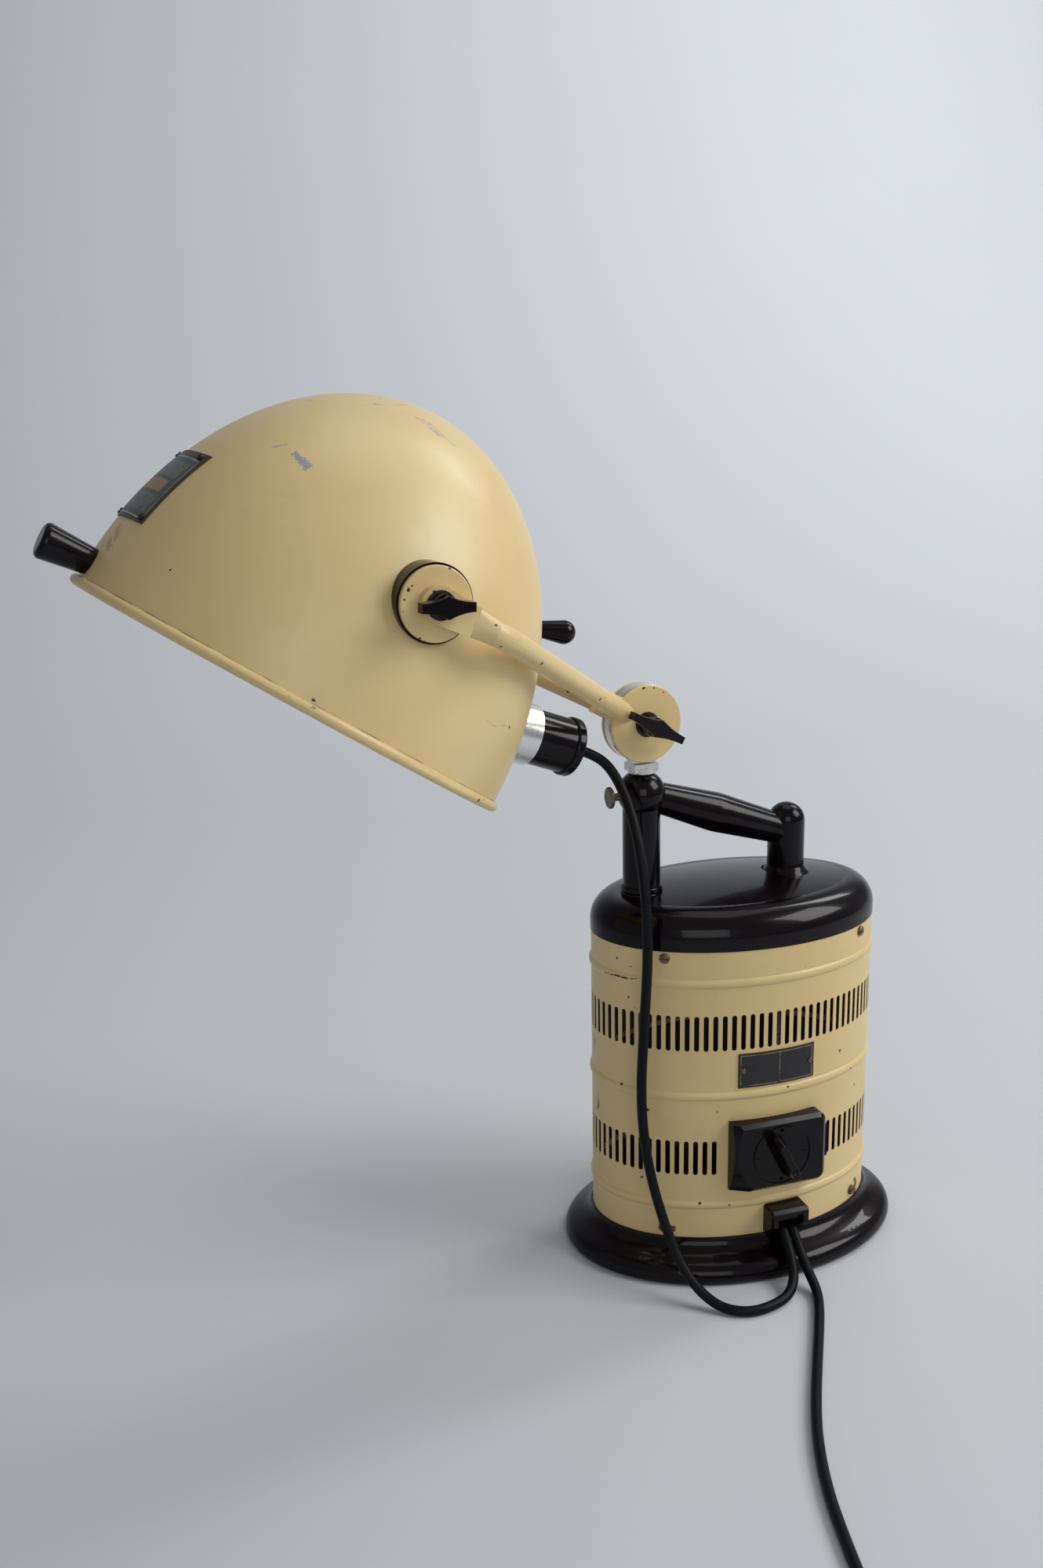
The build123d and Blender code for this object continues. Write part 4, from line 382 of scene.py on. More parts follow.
def clear_quartz(name):
    """Fused quartz: clear, with faint drawn streaks and a slight haze."""
    f = Finish(name, transmission_weight=0.85, ior=1.46, base_color=(0.93, 0.96, 1.0))
    streak = f.noise(60, 4, 0.6, (0.2, 1, 1))
    f.feed("Roughness", 0.03 + streak * 0.09)
    f.bump(streak, 0.10, 0.0004)
    return f.material


def enclosed_metal(name, colour, rough):
    """Plain inner metalwork: varnish, scale and a little dust."""
    f = Finish(name, metallic=0.35)
    cloud = f.noise(90, 6, 0.6)
    dark = tuple(0.6 * c for c in colour)
    f.feed("Base Color", f.mix(cloud, dark, colour))
    f.feed("Roughness", rough + cloud * 0.2)
    f.bump(cloud, 0.15, 0.0004)
    return f.material


def stacked_iron(name):
    """Iron laminations on edge."""
    f = Finish(name, metallic=0.4, roughness=0.5)
    layers = f.layers("Y", 330.0, 0.4)
    f.feed("Base Color", f.mix(layers, (0.02, 0.02, 0.022), (0.10, 0.10, 0.11)))
    f.bump(layers, 0.5, 0.0004)
    return f.material


def wound_wire(name):
    """Varnished copper wire in level layers."""
    f = Finish(name, metallic=0.8)
    wires = f.layers("Z", 260.0, 0.5)
    f.feed("Base Color", f.mix(wires, (0.10, 0.035, 0.015), (0.36, 0.15, 0.06)))
    f.feed("Roughness", 0.3 + wires * 0.15)
    f.bump(wires, 0.8, 0.0006)
    return f.material


BADGE_CENTRE = (-125, 0, 65)
BADGE_UP = (0.24, 0, 0.97)
RIB_SPACING = 0.7
RIB_HALF_WIDTH = 0.3
RIBS_FROM_MIDDLE = 6.2


def ruled_badge(name):
    """The hood's etched badge: a silver line and silver ribs round an ochre bar, on dark grey.

    The metal outside the line, at the badge's edge, is brown."""
    dark_grey = (0.050, 0.056, 0.053)
    worn_grey = (0.115, 0.122, 0.112)
    edge_brown = (0.048, 0.017, 0.011)
    ochre = (0.36, 0.225, 0.115)
    silver = (0.52, 0.52, 0.48)
    f = Finish(name, roughness=0.4)
    across = f.along(on_hood(BADGE_CENTRE), hood_way((0, 1, 0)))
    side = across.maths("ABSOLUTE")
    end = f.along(on_hood(BADGE_CENTRE), hood_way(BADGE_UP)).maths("ABSOLUTE")
    within = oblong(side, end, 30.5, 21.5)
    border = within - oblong(side, end, 29.8, 20.8)
    ribs = across.maths("PINGPONG", RIB_SPACING * MM).below(RIB_HALF_WIDTH * MM, CRISP)
    ribs = ribs * oblong(side, end, 26.5, 17.5) * end.above(RIBS_FROM_MIDDLE * MM, CRISP)
    bar = oblong(side, end, 23.0, 4.0)
    worn = f.noise(260, 6, 0.65)
    line = (border + ribs * 0.55).maths("MINIMUM", 1.0) * worn.above(0.34, 0.14)
    colour = f.mix(worn.above(0.42, 0.3), dark_grey, worn_grey)
    colour = f.mix(within, edge_brown, colour)
    colour = f.mix(bar * (worn * 0.4 + 0.6), colour, ochre)
    f.feed("Base Color", f.mix(line, colour, silver))
    f.feed("Metallic", line * 0.7 + 0.1)
    f.feed("Roughness", 0.30 + worn * 0.25)
    f.bump(line * 0.8 + worn * 0.3, 0.25, 0.0003)
    return f.material


PLATE_CENTRE = (1.5, -70, 142.5)
DIVIDER_FROM_CENTRE = 1.1
DIVIDER_HALF_WIDTH = 0.3


def black_filled_plate(name):
    """The name plate: plain black fill, with a thin brass line round it and one down the middle."""
    fill_black = (0.0075, 0.0065, 0.0080)
    rubbed_brown = (0.060, 0.036, 0.024)
    brass = (0.34, 0.24, 0.12)
    f = Finish(name, roughness=0.38)
    worn = f.noise(210, 6, 0.65)
    across = f.along(PLATE_CENTRE, (1, 0, 0))
    side = across.maths("ABSOLUTE")
    end = f.along(PLATE_CENTRE, (0, 0, 1)).maths("ABSOLUTE")
    within = oblong(side, end, 25.9, 10.7)
    border = within - oblong(side, end, 25.4, 10.2)
    from_divider = (across - DIVIDER_FROM_CENTRE * MM).maths("ABSOLUTE")
    divider = from_divider.below(DIVIDER_HALF_WIDTH * MM, CRISP) * within
    line = (border + divider).maths("MINIMUM", 1.0) * worn.above(0.38, 0.12)
    black = f.mix(worn.above(0.62, 0.06) * 0.6, fill_black, rubbed_brown)
    f.feed("Base Color", f.mix(line, black, brass))
    f.feed("Metallic", line * 0.8)
    f.feed("Roughness", 0.28 + worn * 0.22)
    f.bump(line * 0.6 + worn * 0.3, 0.15, 0.0003)
    return f.material


# Modelling by hand

WELD_DISTANCE = 0.002
SMOOTH_BELOW = 38


def start_clean():
    if bpy.context.object and bpy.context.object.mode != "OBJECT":
        bpy.ops.object.mode_set(mode="OBJECT")
    bpy.ops.object.select_all(action="DESELECT")


def named(name):
    piece = bpy.context.object
    piece.name = name
    piece.data.name = name
    return piece


def take(piece):
    start_clean()
    piece.select_set(True)
    bpy.context.view_layer.objects.active = piece


def edit(piece):
    take(piece)
    bpy.ops.object.mode_set(mode="EDIT")


def object_mode():
    bpy.ops.object.mode_set(mode="OBJECT")


def tidy_mesh(piece):
    edit(piece)
    bpy.ops.mesh.select_all(action="SELECT")
    bpy.ops.mesh.remove_doubles(threshold=WELD_DISTANCE)
    bpy.ops.mesh.normals_make_consistent(inside=False)
    object_mode()


def lathe(name, profile, steps):
    """A turned piece: a profile of (radius, height) corners is drawn point by point and spun about Z."""
    start_clean()
    bpy.ops.mesh.primitive_plane_add(size=1, location=(profile[0][0], 0, profile[0][1]))
    piece = named(name)
    bpy.ops.object.mode_set(mode="EDIT")
    bpy.ops.mesh.merge(type="CENTER")
    for (r0, z0), (r1, z1) in zip(profile, profile[1:]):
        bpy.ops.mesh.extrude_vertices_move(TRANSFORM_OT_translate={"value": (r1 - r0, 0, z1 - z0)})
    bpy.ops.mesh.select_all(action="SELECT")
    bpy.ops.mesh.spin(steps=steps, angle=math.tau, center=(0, 0, 0), axis=(0, 0, 1))
    object_mode()
    bpy.ops.object.transform_apply(location=True, rotation=True, scale=True)
    tidy_mesh(piece)
    return piece


def block(name, size, centre):
    start_clean()
    bpy.ops.mesh.primitive_cube_add(size=1, location=centre)
    piece = named(name)
    piece.scale = size
    bpy.ops.object.transform_apply(location=True, rotation=True, scale=True)
    return piece


def soften(piece, width, segments, angle):
    """Rounds the edges that are sharper than an angle, in degrees."""
    take(piece)
    bevel = piece.modifiers.new("Bevel", "BEVEL")
    bevel.width = width
    bevel.segments = segments
    bevel.limit_method = "ANGLE"
    bevel.angle_limit = math.radians(angle)
    bevel.harden_normals = False
    bpy.ops.object.modifier_apply(modifier=bevel.name)


def joined(name, pieces):
    take(pieces[0])
    for piece in pieces[1:]:
        piece.select_set(True)
    bpy.ops.object.join()
    return named(name)


def deliver(piece, place, body, slot, material, *replaced):
    """Puts a finished piece in its place, in metres, and hands it to its body."""
    placement = Matrix.Scale(MM, 4) @ place
    piece.data.transform(placement)
    piece.data.update()
    if placement.determinant() < 0:
        # A mirroring placement turns the faces inside out.
        edit(piece)
        bpy.ops.mesh.select_all(action="SELECT")
        bpy.ops.mesh.flip_normals()
        object_mode()
    take(piece)
    bpy.ops.object.shade_smooth_by_angle(angle=math.radians(SMOOTH_BELOW))
    piece.data.materials.clear()
    piece.data.materials.append(material)
    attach(piece, body)
    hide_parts(*replaced)


def rounded(points, radius, count):
    """A profile of (radius, height) points with its inner corners rounded.

    A third number is that corner's own rounding."""
    result = [points[0][:2]]
    for before, here, after in zip(points, points[1:], points[2:]):
        own = here[2] if len(here) > 2 else radius
        p, q, s = Vector(before[:2]), Vector(here[:2]), Vector(after[:2])
        back, on = (p - q), (s - q)
        reach = min(own, 0.45 * back.length, 0.45 * on.length)
        if reach <= 0:
            result.append(tuple(q))
            continue
        a, b = q + back.normalized() * reach, q + on.normalized() * reach
        for k in range(count + 1):
            t = k / count
            result.append(tuple(a * (1 - t) ** 2 + q * 2 * t * (1 - t) + b * t**2))
    result.append(points[-1][:2])
    return result


# Camera, floor and light, in metres

CAMERA_PLACE = (-0.42394, -0.85546, 0.55851)
CAMERA_YAW = 0.3134
CAMERA_PITCH = 0.2495
CAMERA_ROLL = -0.0209
CAMERA_LENS = 34.19
FLOOR_HALF_SIZE = (14, 7.65, 1)
FLOOR_MIDDLE = (0, -6.35, 0)
BEND_STARTS = 1.3
BEND_RADIUS = 3.0
WALL_RISE = 14
SKY_COLOUR = (0.87, 0.89, 0.92, 1)
SKY_STRENGTH = 0.29
# Each lamp: its name, its place, the point that it faces, its size, power and colour.
LAMPS = (
    ("key", (1.7, -1.0, 1.7), (-0.1, 0, 0.3), (1.3, 1.3), 38, (1, 0.99, 0.97)),
    ("fill", (-0.6, -2.2, 1.0), (-0.1, 0, 0.3), (1.2, 1.2), 8, (0.97, 0.98, 1)),
    ("top", (0.3, 0.4, 2.4), (-0.1, 0, 0.2), (1.4, 1.2), 6, (1, 1, 1)),
    ("wall", (2.8, 1.2, 3.2), (1.6, 4.0, 1.6), (1.8, 1.8), 105, (1, 1, 1)),
)


def camera_like_the_photograph():
    """The camera fitted to the photograph: yaw, pitch and roll in radians."""
    yaw, pitch, roll = CAMERA_YAW, CAMERA_PITCH, CAMERA_ROLL
    ahead = Vector((math.sin(yaw) * math.cos(pitch), math.cos(yaw) * math.cos(pitch), -math.sin(pitch)))
    level = Vector((math.cos(yaw), -math.sin(yaw), 0))
    upright = level.cross(ahead)
    right = level * math.cos(roll) + upright * math.sin(roll)
    up = upright * math.cos(roll) - level * math.sin(roll)
    camera = bpy.data.objects.new("camera", bpy.data.cameras.new("camera"))
    bpy.context.scene.collection.objects.link(camera)
    camera.data.lens = CAMERA_LENS
    camera.data.sensor_width = 36
    camera.data.sensor_fit = "AUTO"
    camera.data.clip_end = 60
    axes = Matrix((right, up, -ahead)).transposed().to_4x4()
    camera.matrix_world = Matrix.Translation(CAMERA_PLACE) @ axes
    bpy.context.scene.camera = camera


def pale_stage():
    """A pale sweep: a floor, which takes the lamp's shadow, curving up into a wall behind it."""
    start_clean()
    bpy.ops.mesh.primitive_plane_add(size=2, location=(0, 0, 0))
    sweep = named("sweep")
    bpy.ops.transform.resize(value=FLOOR_HALF_SIZE)
    bpy.ops.transform.translate(value=FLOOR_MIDDLE)
    bpy.ops.object.transform_apply(location=True, rotation=True, scale=True)
    edit(sweep)
    bpy.ops.mesh.select_all(action="DESELECT")
    object_mode()
    for edge in sweep.data.edges:
        edge.select = all(sweep.data.vertices[k].co.y > BEND_STARTS - 0.1 for k in edge.vertices)
    edit(sweep)
    centre = (0, BEND_STARTS, BEND_RADIUS)
    bpy.ops.mesh.spin(steps=32, angle=math.radians(-90), center=centre, axis=(1, 0, 0))
    bpy.ops.mesh.extrude_edges_move(TRANSFORM_OT_translate={"value": (0, 0, WALL_RISE)})
    object_mode()
    bpy.ops.object.shade_smooth_by_angle(angle=math.radians(30))
    f = Finish("pale_sweep", roughness=0.85, specular_ior_level=0.15)
    f.feed("Base Color", f.mix(f.noise(2, 2), (0.575, 0.597, 0.628), (0.590, 0.612, 0.643)))
    sweep.data.materials.append(f.material)


def soft_lamp(name, place, aim, size, power, colour):
    light = bpy.data.lights.new(name, "AREA")
    light.shape = "RECTANGLE"
    light.size, light.size_y = size
    light.energy = power
    light.color = colour
    lamp = bpy.data.objects.new(name, light)
    bpy.context.scene.collection.objects.link(lamp)
    lamp.location = place
    lamp.rotation_euler = (Vector(aim) - Vector(place)).to_track_quat("-Z", "Y").to_euler()


def studio_light():
    world = bpy.data.worlds.new("studio")
    bpy.context.scene.world = world
    world.use_nodes = True
    background = world.node_tree.nodes["Background"]
    background.inputs["Color"].default_value = SKY_COLOUR
    background.inputs["Strength"].default_value = SKY_STRENGTH
    for lamp in LAMPS:
        soft_lamp(*lamp)
    bpy.context.scene.view_settings.view_transform = "Standard"


# Cords

# The points that shape the cords' splines: from near the socket to the inlet, and from the inlet towards
# the coil.
HEAD_ROUTE = [
    (-91.3, -8.6, 337.8), (-86.3, -22.7, 321.7), (-84.6, -38.0, 300.0), (-83.6, -48.5, 268.0),
    (-83.5, -53.0, 228.0), (-86.5, -53.5, 180.0), (-89.0, -53.0, 130.0), (-86.0, -56.0, 88.0),
    (-79.5, -67.0, 50.0), (-71.5, -84.0, 19.0), (-58.5, -102.0, 4.0), (-42.0, -114.5, 3.3),
    (-22.0, -113.0, 3.5), (-6.0, -105.5, 4.6), (3.6, -90.6, 12.7), (3.6, -73.65, 29.65),
]
MAINS_ROUTE = [
    (10.6, -73.65, 29.65), (10.6, -90.6, 12.7), (11.0, -107.5, 3.6), (2.0, -126.5, 3.3),
    (-10.5, -148.0, 3.4), (-27.0, -175.5, 3.3), (-42.0, -201.0, 3.4), (-56.0, -227.0, 3.3),
    (-69.0, -257.0, 3.4), (-79.5, -289.0, 3.3),
]
# The head cord's spans. Each has its name, the two bodies that it lies between, where it starts and ends,
# and where its bend starts and ends, in metres along the cord from the socket. None is the cord's far end.
HEAD_SPANS = (
    ("head_cord_top", "hood", "fork", 0.0, 0.049, 0.024, 0.049),
    ("head_cord_bend", "fork", "knuckle", 0.049, 0.091, 0.049, 0.091),
    ("head_cord_drop", "knuckle", "base", 0.091, None, 0.091, 0.130),
)
STRAIGHT_FROM_SOCKET = 14.0
COIL_CENTRE = (-150.7, -378.9)
COIL_ENTRY_ANGLE = math.radians(-15.7)
COIL_OUT = 47.0
COIL_STEP = 7.0
TURNS_IN = 3.5
CLIMB_TURNS = 0.5
TURNS_IN_ALL = 5.25
POINTS_A_TURN = 12
# The upper layer is let out by this much more over its first part.
UPPER_SHIFT = 2.8
UPPER_SHIFT_TURNS = 0.75
# A spline of this order runs inside its points, at this share of their distance from the coil's middle.
INSIDE_ITS_POINTS = 0.9662
LAYER_LOW = 3.3
LAYER_HIGH = 10.3
RUN_IN = 40
TAIL_LENGTH = 90
TAIL_SAG = 0.8
# A point this far before the coil's beginning and its end holds the cord's direction there.
HELD_BEFORE = 2
TUBE_SIDES = 20
PLUG_SIZE = (35, 14, 36)
PLUG_MIDDLE = (0, 0, 42)
PLUG_NECK_BELOW = 30
PLUG_NECK_SHARES = (0.72, 0.86)
PLUG_ROUNDING = 4.6
PLUG_RELIEF = [
    (0, 0), (4.2, 0), (4.9, 8, 0), (4.4, 8.6, 0), (5.2, 15, 0), (4.7, 15.6, 0), (5.8, 22, 0), (5.8, 28),
    (0, 28),
]


def on_coil(r, a, z):
    """A place on the coil, at a distance and an angle from its middle and at a height."""
    return COIL_CENTRE[0] + r * math.cos(a), COIL_CENTRE[1] + r * math.sin(a), z


def coil_way(a):
    """The way that the cord runs at an angle of the coil, which is wound clockwise."""
    return Vector((math.sin(a), -math.cos(a), 0))


def coil_route():
    """The coil's winding, which runs inwards and climbs, then runs out again over the top, and the tail.

    It comes with the tail's tip and the way that the tail runs there."""
    route = []
    for k in range(1, int(TURNS_IN_ALL * POINTS_A_TURN) + 1):
        turns = k / POINTS_A_TURN
        r = COIL_OUT - COIL_STEP * min(turns, TURNS_IN)
        out = turns - TURNS_IN
        if out > 0:
            r += COIL_STEP * out + UPPER_SHIFT * min(1, out / UPPER_SHIFT_TURNS)
        climb = min(max(out / CLIMB_TURNS + 1, 0), 1)
        z = LAYER_LOW + (LAYER_HIGH - LAYER_LOW) * climb * climb * (3 - 2 * climb)
        a = COIL_ENTRY_ANGLE - math.tau * turns
        route.append(on_coil(r / INSIDE_ITS_POINTS, a, z))
    end = Vector(on_coil(r, a, LAYER_HIGH))
    heading = coil_way(a)
    plug_height = PLUG_SIZE[1] / 2
    tip = end + heading * TAIL_LENGTH - Vector((0, 0, LAYER_HIGH - plug_height))
    sag = Vector((0, 0, TAIL_SAG))
    route[-1] = tuple(end - heading * HELD_BEFORE)
    third = heading * TAIL_LENGTH / 3
    route += [tuple(end + third), tuple(end + third * 2 - sag), tuple(tip)]
    return route, tip, heading


def cord_curve(name, route, bevel):
    """An open spline shaped by a route's points; a bevel of 0 leaves it a bare line."""
    curve = bpy.data.curves.new(name, "CURVE")
    curve.dimensions = "3D"
    curve.resolution_u = 10
    curve.bevel_depth = bevel
    curve.bevel_resolution = 5
    curve.use_fill_caps = True
    spline = curve.splines.new("NURBS")
    spline.points.add(len(route) - 1)
    for spot, point in zip(spline.points, route):
        spot.co = (*(MM * v for v in point), 1)
    spline.order_u = 3
    spline.use_endpoint_u = True
    cord = bpy.data.objects.new(name, curve)
    bpy.context.scene.collection.objects.link(cord)
    return cord


def line_of(route):
    """The points of the smooth line that a route's spline makes, in metres."""
    guide = cord_curve("guide", route, 0)
    bpy.context.view_layer.update()
    mesh = bpy.data.meshes.new_from_object(guide)
    line = [v.co.copy() for v in mesh.vertices]
    bpy.data.objects.remove(guide)
    bpy.data.meshes.remove(mesh)
    return line


def tube_on(name, line, radius):
    """A closed mesh tube that follows the points of a line, with a ring of corners at each."""
    ways = [(b - a).normalized() for a, b in zip(line, line[1:])]
    ways = [ways[0]] + [(a + b).normalized() for a, b in zip(ways, ways[1:])] + [ways[-1]]
    side = ways[0].orthogonal().normalized()
    verts, faces = [], []
    for point, way in zip(line, ways):
        side = (side - way * side.dot(way)).normalized()
        other = way.cross(side)
        for k in range(TUBE_SIDES):
            a = math.tau * k / TUBE_SIDES
            verts.append(point + (side * math.cos(a) + other * math.sin(a)) * radius)
    for row in range(len(line) - 1):
        for k in range(TUBE_SIDES):
            n = (k + 1) % TUBE_SIDES
            here, ahead = row * TUBE_SIDES, (row + 1) * TUBE_SIDES
            faces.append((here + k, here + n, ahead + n, ahead + k))
    faces.append(tuple(reversed(range(TUBE_SIDES))))
    faces.append(tuple((len(line) - 1) * TUBE_SIDES + k for k in range(TUBE_SIDES)))
    mesh = bpy.data.meshes.new(name)
    mesh.from_pydata(verts, [], faces)
    tube = bpy.data.objects.new(name, mesh)
    bpy.context.scene.collection.objects.link(tube)
    take(tube)
    bpy.ops.object.shade_smooth_by_angle(angle=math.radians(50))
    return tube


def head_cord(sheath):
    """The cord from the socket to the base, in three spans of tube that run past the fork and the knuckle."""
    start = SOCKET @ Vector((0, 0, SOCKET_END))
    leave = SOCKET @ Vector((0, 0, SOCKET_END + STRAIGHT_FROM_SOCKET))
    line = line_of([tuple(start), tuple(leave)] + HEAD_ROUTE)
    reach = [0.0]
    for a, b in zip(line, line[1:]):
        reach.append(reach[-1] + (b - a).length)

    def row(distance):
        return min(range(len(line)), key=lambda k: abs(reach[k] - distance))

    for name, upper, lower, begin, finish_at, bend_from, bend_to in HEAD_SPANS:
        first, last = row(begin), row(reach[-1] if finish_at is None else finish_at)
        part = line[first:last + 1]
        tube = tube_on(name, part, CORD_RADIUS * MM)
        tube.data.materials.append(sheath)
        tuple(line[row(bend_from)])
        tuple(line[row(bend_to)])
        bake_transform(tube)
        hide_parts("head_cord")


def mains_plug_piece(tip, heading):
    """The plug on the mains lead, a flat body with rounded sides and a ribbed relief, and its place."""
    body = block("plug_body", PLUG_SIZE, PLUG_MIDDLE)
    for v in body.data.vertices:
        if v.co.z < PLUG_NECK_BELOW:
            v.co.x *= PLUG_NECK_SHARES[0]
            v.co.y *= PLUG_NECK_SHARES[1]
    soften(body, PLUG_ROUNDING, 6, 20)
    relief = lathe("relief", rounded(PLUG_RELIEF, 0.6, 3), 40)
    plug = joined("moulded_plug", [body, relief])
    side = heading.cross(Vector((0, 0, 1)))
    place = Matrix((side, heading.cross(side) * -1, heading)).transposed().to_4x4()
    place.translation = tip
    return plug, place


def mains_cord(sheath):
    """The mains lead: from the inlet to the coil, round it, and on to the plug."""
    coil, tip, heading = coil_route()
    entry = Vector(on_coil(COIL_OUT, COIL_ENTRY_ANGLE, LAYER_LOW))
    entry_way = coil_way(COIL_ENTRY_ANGLE)
    run_in = [tuple(entry - entry_way * RUN_IN), tuple(entry - entry_way * HELD_BEFORE)]
    cord = cord_curve("mains_cord_line", MAINS_ROUTE + run_in + coil, CORD_RADIUS * MM)
    cord.data.materials.append(sheath)
    plug, place = mains_plug_piece(tip, heading)
    deliver(plug, place, "base", "cord_rubber", sheath, "mains_plug")
    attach(cord, "base")
    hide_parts("mains_cord", "mains_coil")


# Finishes of the pieces as they stand

# Where the enamel is chipped or stained, in millimetres: spots have a middle and a radius, scratches and
# stains two ends and a width. Those on the front follow the photograph.
HOUSING_CHIPS = [
    ((-90.7, -26.1, 128.0), 1.1), ((-78.2, -39.5, 114.2), 1.3), ((-81.0, -37.0, 65.1), 0.9),
    ((-49.1, -57.4, 50.3), 1.1), ((-30.5, -63.2, 48.6), 0.8), ((-39.7, -59.5, 157.7), 0.9),
    ((52.5, -55.0, 140.9), 1.0), ((9.0, -65.7, 127.2), 0.8), ((63.3, -51.3, 125.0), 0.7),
    ((70.1, -45.6, 109.3), 0.8), ((75.9, -42.9, 47.2), 0.9), ((70.0, 46.5, 126.0), 1.2),
    ((20.0, 64.5, 49.0), 1.0), ((-60.0, 52.0, 203.0), 1.2), ((97.5, 8.0, 48.0), 1.0),
]
HOUSING_SCRATCHES = [
    ((-97.6, -14.1, 202.6), (-94.2, -21.9, 202.9), 0.8),
    ((-94.2, -21.9, 203.3), (-88.5, -30.6, 203.0), 1.2),
    ((-88.5, -30.6, 202.8), (-84.1, -35.6, 203.9), 0.6),
]
RUST = [
    ((75.3, -41.8, 35.5), 2.0), ((76.5, -40.9, 31.5), 2.8), ((75.8, -41.5, 27.0), 3.2),
    ((-64.5, -49.2, 30.5), 2.4),
]
HOOD_SPOTS = [
    ((-188.4, -109.6, 390.9), 0.9), ((-359.2, -104.2, 483.4), 0.5), ((-300.9, -154.0, 422.6), 1.0),
    ((-209.9, -120.1, 354.9), 1.2),
]
HOOD_SCRAPES = [
    ((-293.0, -89.4, 537.5), (-289.6, -97.0, 533.0), 3.6),
    ((-290.9, -94.3, 534.4), (-287.4, -101.3, 529.5), 5.0),
    ((-221.8, -61.2, 553.5), (-212.2, -73.1, 543.1), 1.2),
    ((-218.1, -61.2, 552.2), (-210.9, -73.1, 542.4), 1.1),
    ((-215.1, -62.1, 550.6), (-208.8, -71.5, 542.4), 1.1),
    ((-209.4, -71.0, 543.2), (-203.4, -73.8, 537.6), 0.7),
    ((-243.4, -55.4, 560.3), (-238.3, -54.4, 560.1), 1.1),
    ((-228.7, -50.2, 559.7), (-222.2, -45.7, 559.2), 0.8),
    ((-275.4, -40.1, 562.8), (-272.8, -41.6, 563.0), 1.5),
    ((-302.8, -80.8, 539.8), (-294.7, -82.9, 541.3), 1.0),
]
HOOD_HAIRS = [
    ((-206.7, -127.8, 399.6), (-200.3, -121.9, 394.7), 0.25),
    ((-200.3, -121.9, 394.7), (-191.5, -113.4, 392.7), 0.25),
]
STAINS = [
    ((-383.0, -56.0, 497.0), (-377.5, -41.0, 500.5), 6.0),
    ((-387.0, -56.0, 491.5), (-382.5, -43.0, 494.0), 5.0),
]
ARM_CHIPS = [
    ((-207.9, -153.6, 452.9), 0.9), ((-205.3, -152.3, 441.8), 0.7), ((-174.6, -125.1, 426.8), 0.9),
    ((-115.0, -55.2, 390.5), 1.1), ((-110.5, -51.1, 390.3), 0.7), ((-112.7, -42.5, 382.7), 0.7),
    ((-239.2, -154.7, 471.3), 0.9), ((-67.4, -7.5, 385.2), 0.9), ((-60.2, -6.6, 384.6), 0.7),
    ((-53.4, -5.9, 381.1), 0.5), ((-150, 95, 408), 1.0), ((-109.6, 15.6, 382.2), 0.8),
]
ARM_RUST = [
    ((-97.7, -11.5, 372.7), (-91.1, -20.3, 370.5), 0.9),
    ((-95.5, -10.6, 371.9), (-97.5, -13.5, 373.0), 1.6),
]
DISC_CHIPS = [
    ((-250.9, -151.0, 472.4), 1.2), ((-249.3, -150.8, 474.3), 0.6), ((-253.5, -151.3, 467.9), 0.5),
    ((-229.4, -148.6, 481.6), 0.8), ((-246.4, -150.4, 448.3), 0.7), ((-243.6, -150.1, 446.9), 0.4),
    ((-254.4, -151.4, 462.0), 0.35),
]
# What shows there.
DARK_METAL = (0.020, 0.013, 0.011)
BARE_METAL = (0.30, 0.31, 0.35)
RUST_BROWN = (0.150, 0.042, 0.014)
STAIN = (0.48, 0.36, 0.18)


def finish(material, *names):
    """Gives pieces that stay as they are their finish."""
    for name in names:
        for slot in nodes[name].material_slots:
            slot.material = material


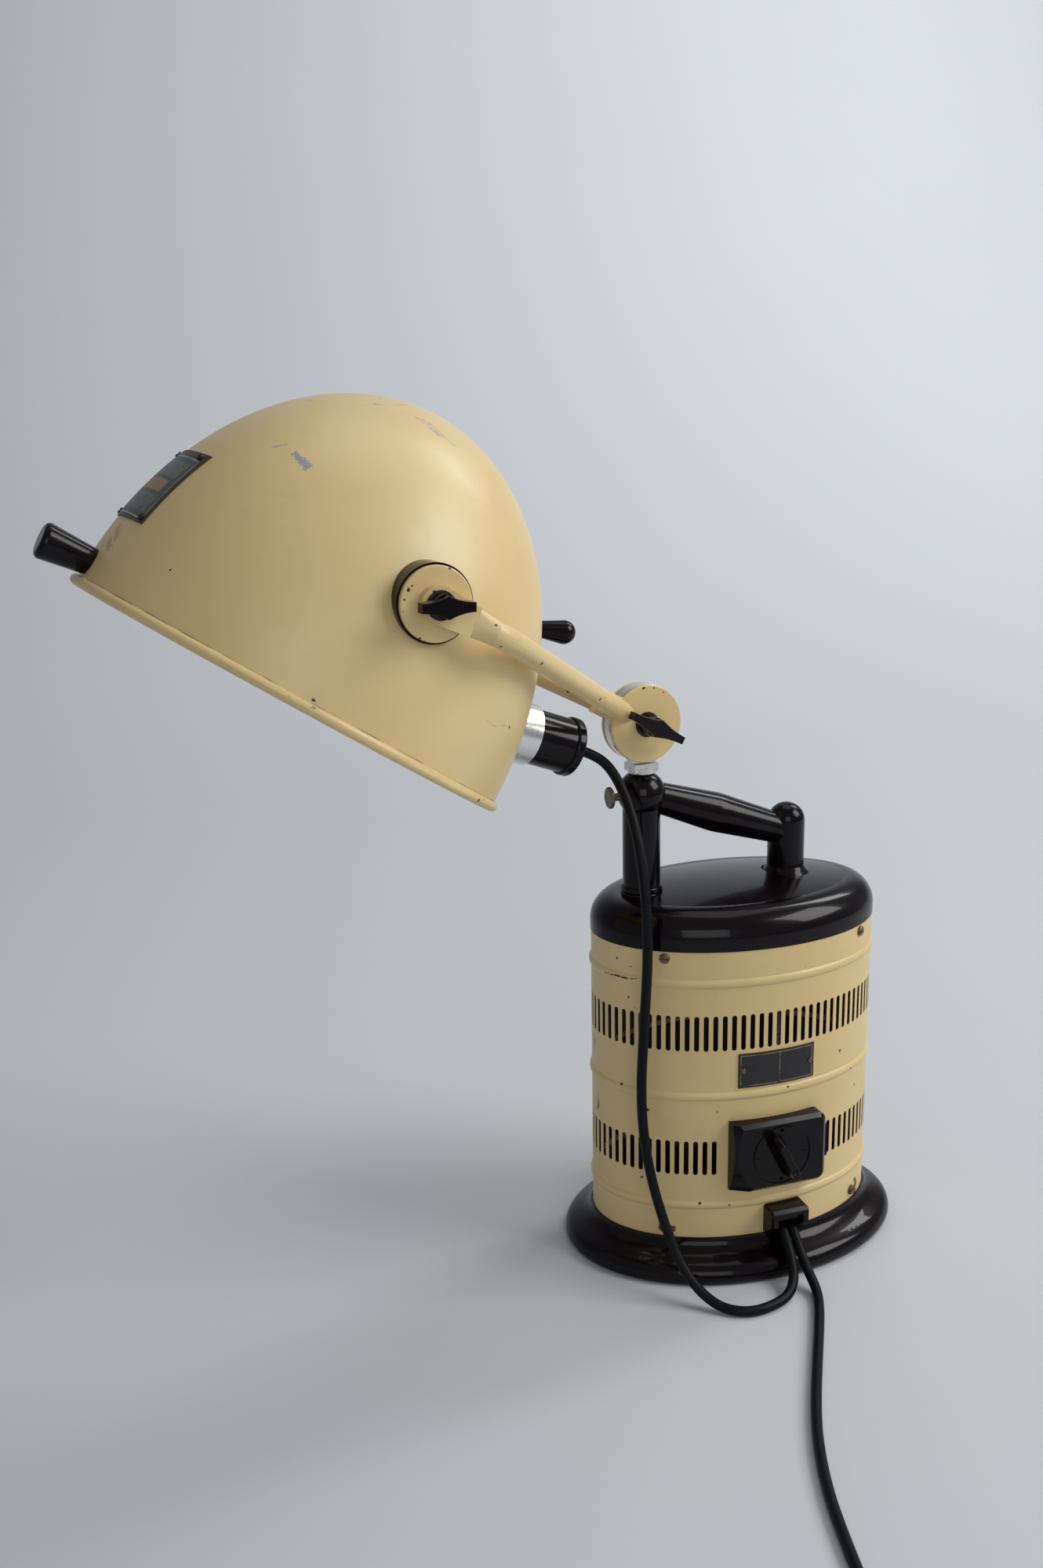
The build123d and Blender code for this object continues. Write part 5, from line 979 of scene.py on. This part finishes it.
def finish_the_base():
    wear = [(DARK_METAL, HOUSING_CHIPS, HOUSING_SCRATCHES), (RUST_BROWN, RUST, [])]
    finish(cream_enamel("housing_enamel", wear, painted_shade_inside=True), "vent_shell")
    finish(brown_bakelite("foot_bakelite", red=0.60, dust=0.04, skin=0.04), "foot_ring")
    finish(brown_bakelite("cap_bakelite", red=0.25, dust=0.12, skin=0.07), "top_cap")
    black = brown_bakelite("black_bakelite", red=0.30)
    finish(black, "front_column", "column_ball", "rear_column", "handle_grip")
    switch = brown_bakelite("switch_bakelite", red=0.22, dust=0.14, skin=0.10)
    finish(switch, "switch_plate", "switch_knob", "inlet_block")
    finish(black_filled_plate("name_plate_fill"), "name_plate")
    finish(aged_metal("red_brass", (0.20, 0.11, 0.07), (0.07, 0.035, 0.025), rust=0.6), "name_rivets")
    brown = aged_metal("brown_screws", (0.20, 0.155, 0.10), (0.055, 0.035, 0.024), rust=0.6)
    finish(brown, "shell_screws")
    steel = aged_metal("screw_steel", (0.46, 0.45, 0.43), (0.16, 0.10, 0.07), rust=0.35)
    finish(steel, "plate_screws", "handle_stud", "tie_rods", "tie_nuts", "choke_strap", "strap_screws")
    finish(enclosed_metal("floor_plate_grey", (0.16, 0.165, 0.17), rough=0.5), "bottom_plate")
    finish(glazed_ceramic("ceramic"), "switch_body", "terminal_block", "burner_clips")
    brass = aged_metal("screw_brass", (0.62, 0.46, 0.22), (0.26, 0.16, 0.07), rust=0.4)
    finish(brass, "terminal_screws")
    finish(stacked_iron("iron_stack"), "choke_core")
    finish(wound_wire("copper_winding"), "choke_coil")
    bronze = aged_metal("dark_bronze", (0.17, 0.145, 0.115), (0.05, 0.04, 0.032), rust=0.5, rough=0.4)
    finish(bronze, "thumb_screw")
    finish(plated("pin_nickel"), "plug_pins")


def finish_the_head():
    rim = (on_hood((0, 0, 0)), hood_way((0, 0, 1)))
    wear = [(STAIN, [], STAINS), (BARE_METAL, [], HOOD_SCRAPES), (DARK_METAL, HOOD_SPOTS, HOOD_HAIRS)]
    finish(cream_enamel("hood_enamel", wear, rim=rim), "hood_shell")
    wear = [(DARK_METAL, ARM_CHIPS, []), (RUST_BROWN, [], ARM_RUST)]
    finish(cream_enamel("arm_enamel", wear), "fork_arm_near", "fork_arm_far")
    wear = [(DARK_METAL, DISC_CHIPS, [])]
    finish(cream_enamel("disc_enamel", wear, chips=0.01), "pivot_disc_near", "pivot_disc_far")
    finish(cast_alloy("turned_alloy"), "reflector_dish")
    bright = plated("socket_nickel", (0.78, 0.78, 0.78), rough=0.15, dull=(0.40, 0.39, 0.37))
    finish(bright, "socket_sleeve", "burner_electrodes")
    finish(plated("knuckle_nickel"), "knuckle")
    # The joint bolt and the pivot washers get near-black metal as painted shadow under the wing knobs; the
    # badge screws share this finish.
    black = aged_metal("blackened_steel_and_painted_shadow", (0.060, 0.052, 0.046), (0.030, 0.021, 0.017), rust=0.4, rough=0.45)
    finish(black, "joint_bolt", "pivot_washers", "badge_screws")
    steel = aged_metal("shaft_steel", (0.50, 0.49, 0.47), (0.20, 0.15, 0.11), rust=0.25)
    finish(steel, "friction_washers", "cross_shaft", "grip_screw", "dish_stud", "burner_yoke")
    moulded = brown_bakelite("head_bakelite", red=0.40, dust=0.14)
    finish(moulded, "pivot_drum_near", "pivot_drum_far", "pivot_wing_near", "pivot_wing_far")
    finish(moulded, "joint_wing_knob", "front_grip", "lever_knob", "socket_body")
    finish(ruled_badge("badge_face"), "badge_plate")
    finish(clear_quartz("clear_quartz"), "quartz_burner")


camera_like_the_photograph()
pale_stage()
studio_light()
SHEATH = cord_sheath("cord_sheath")
head_cord(SHEATH)
mains_cord(SHEATH)
finish_the_base()
finish_the_head()
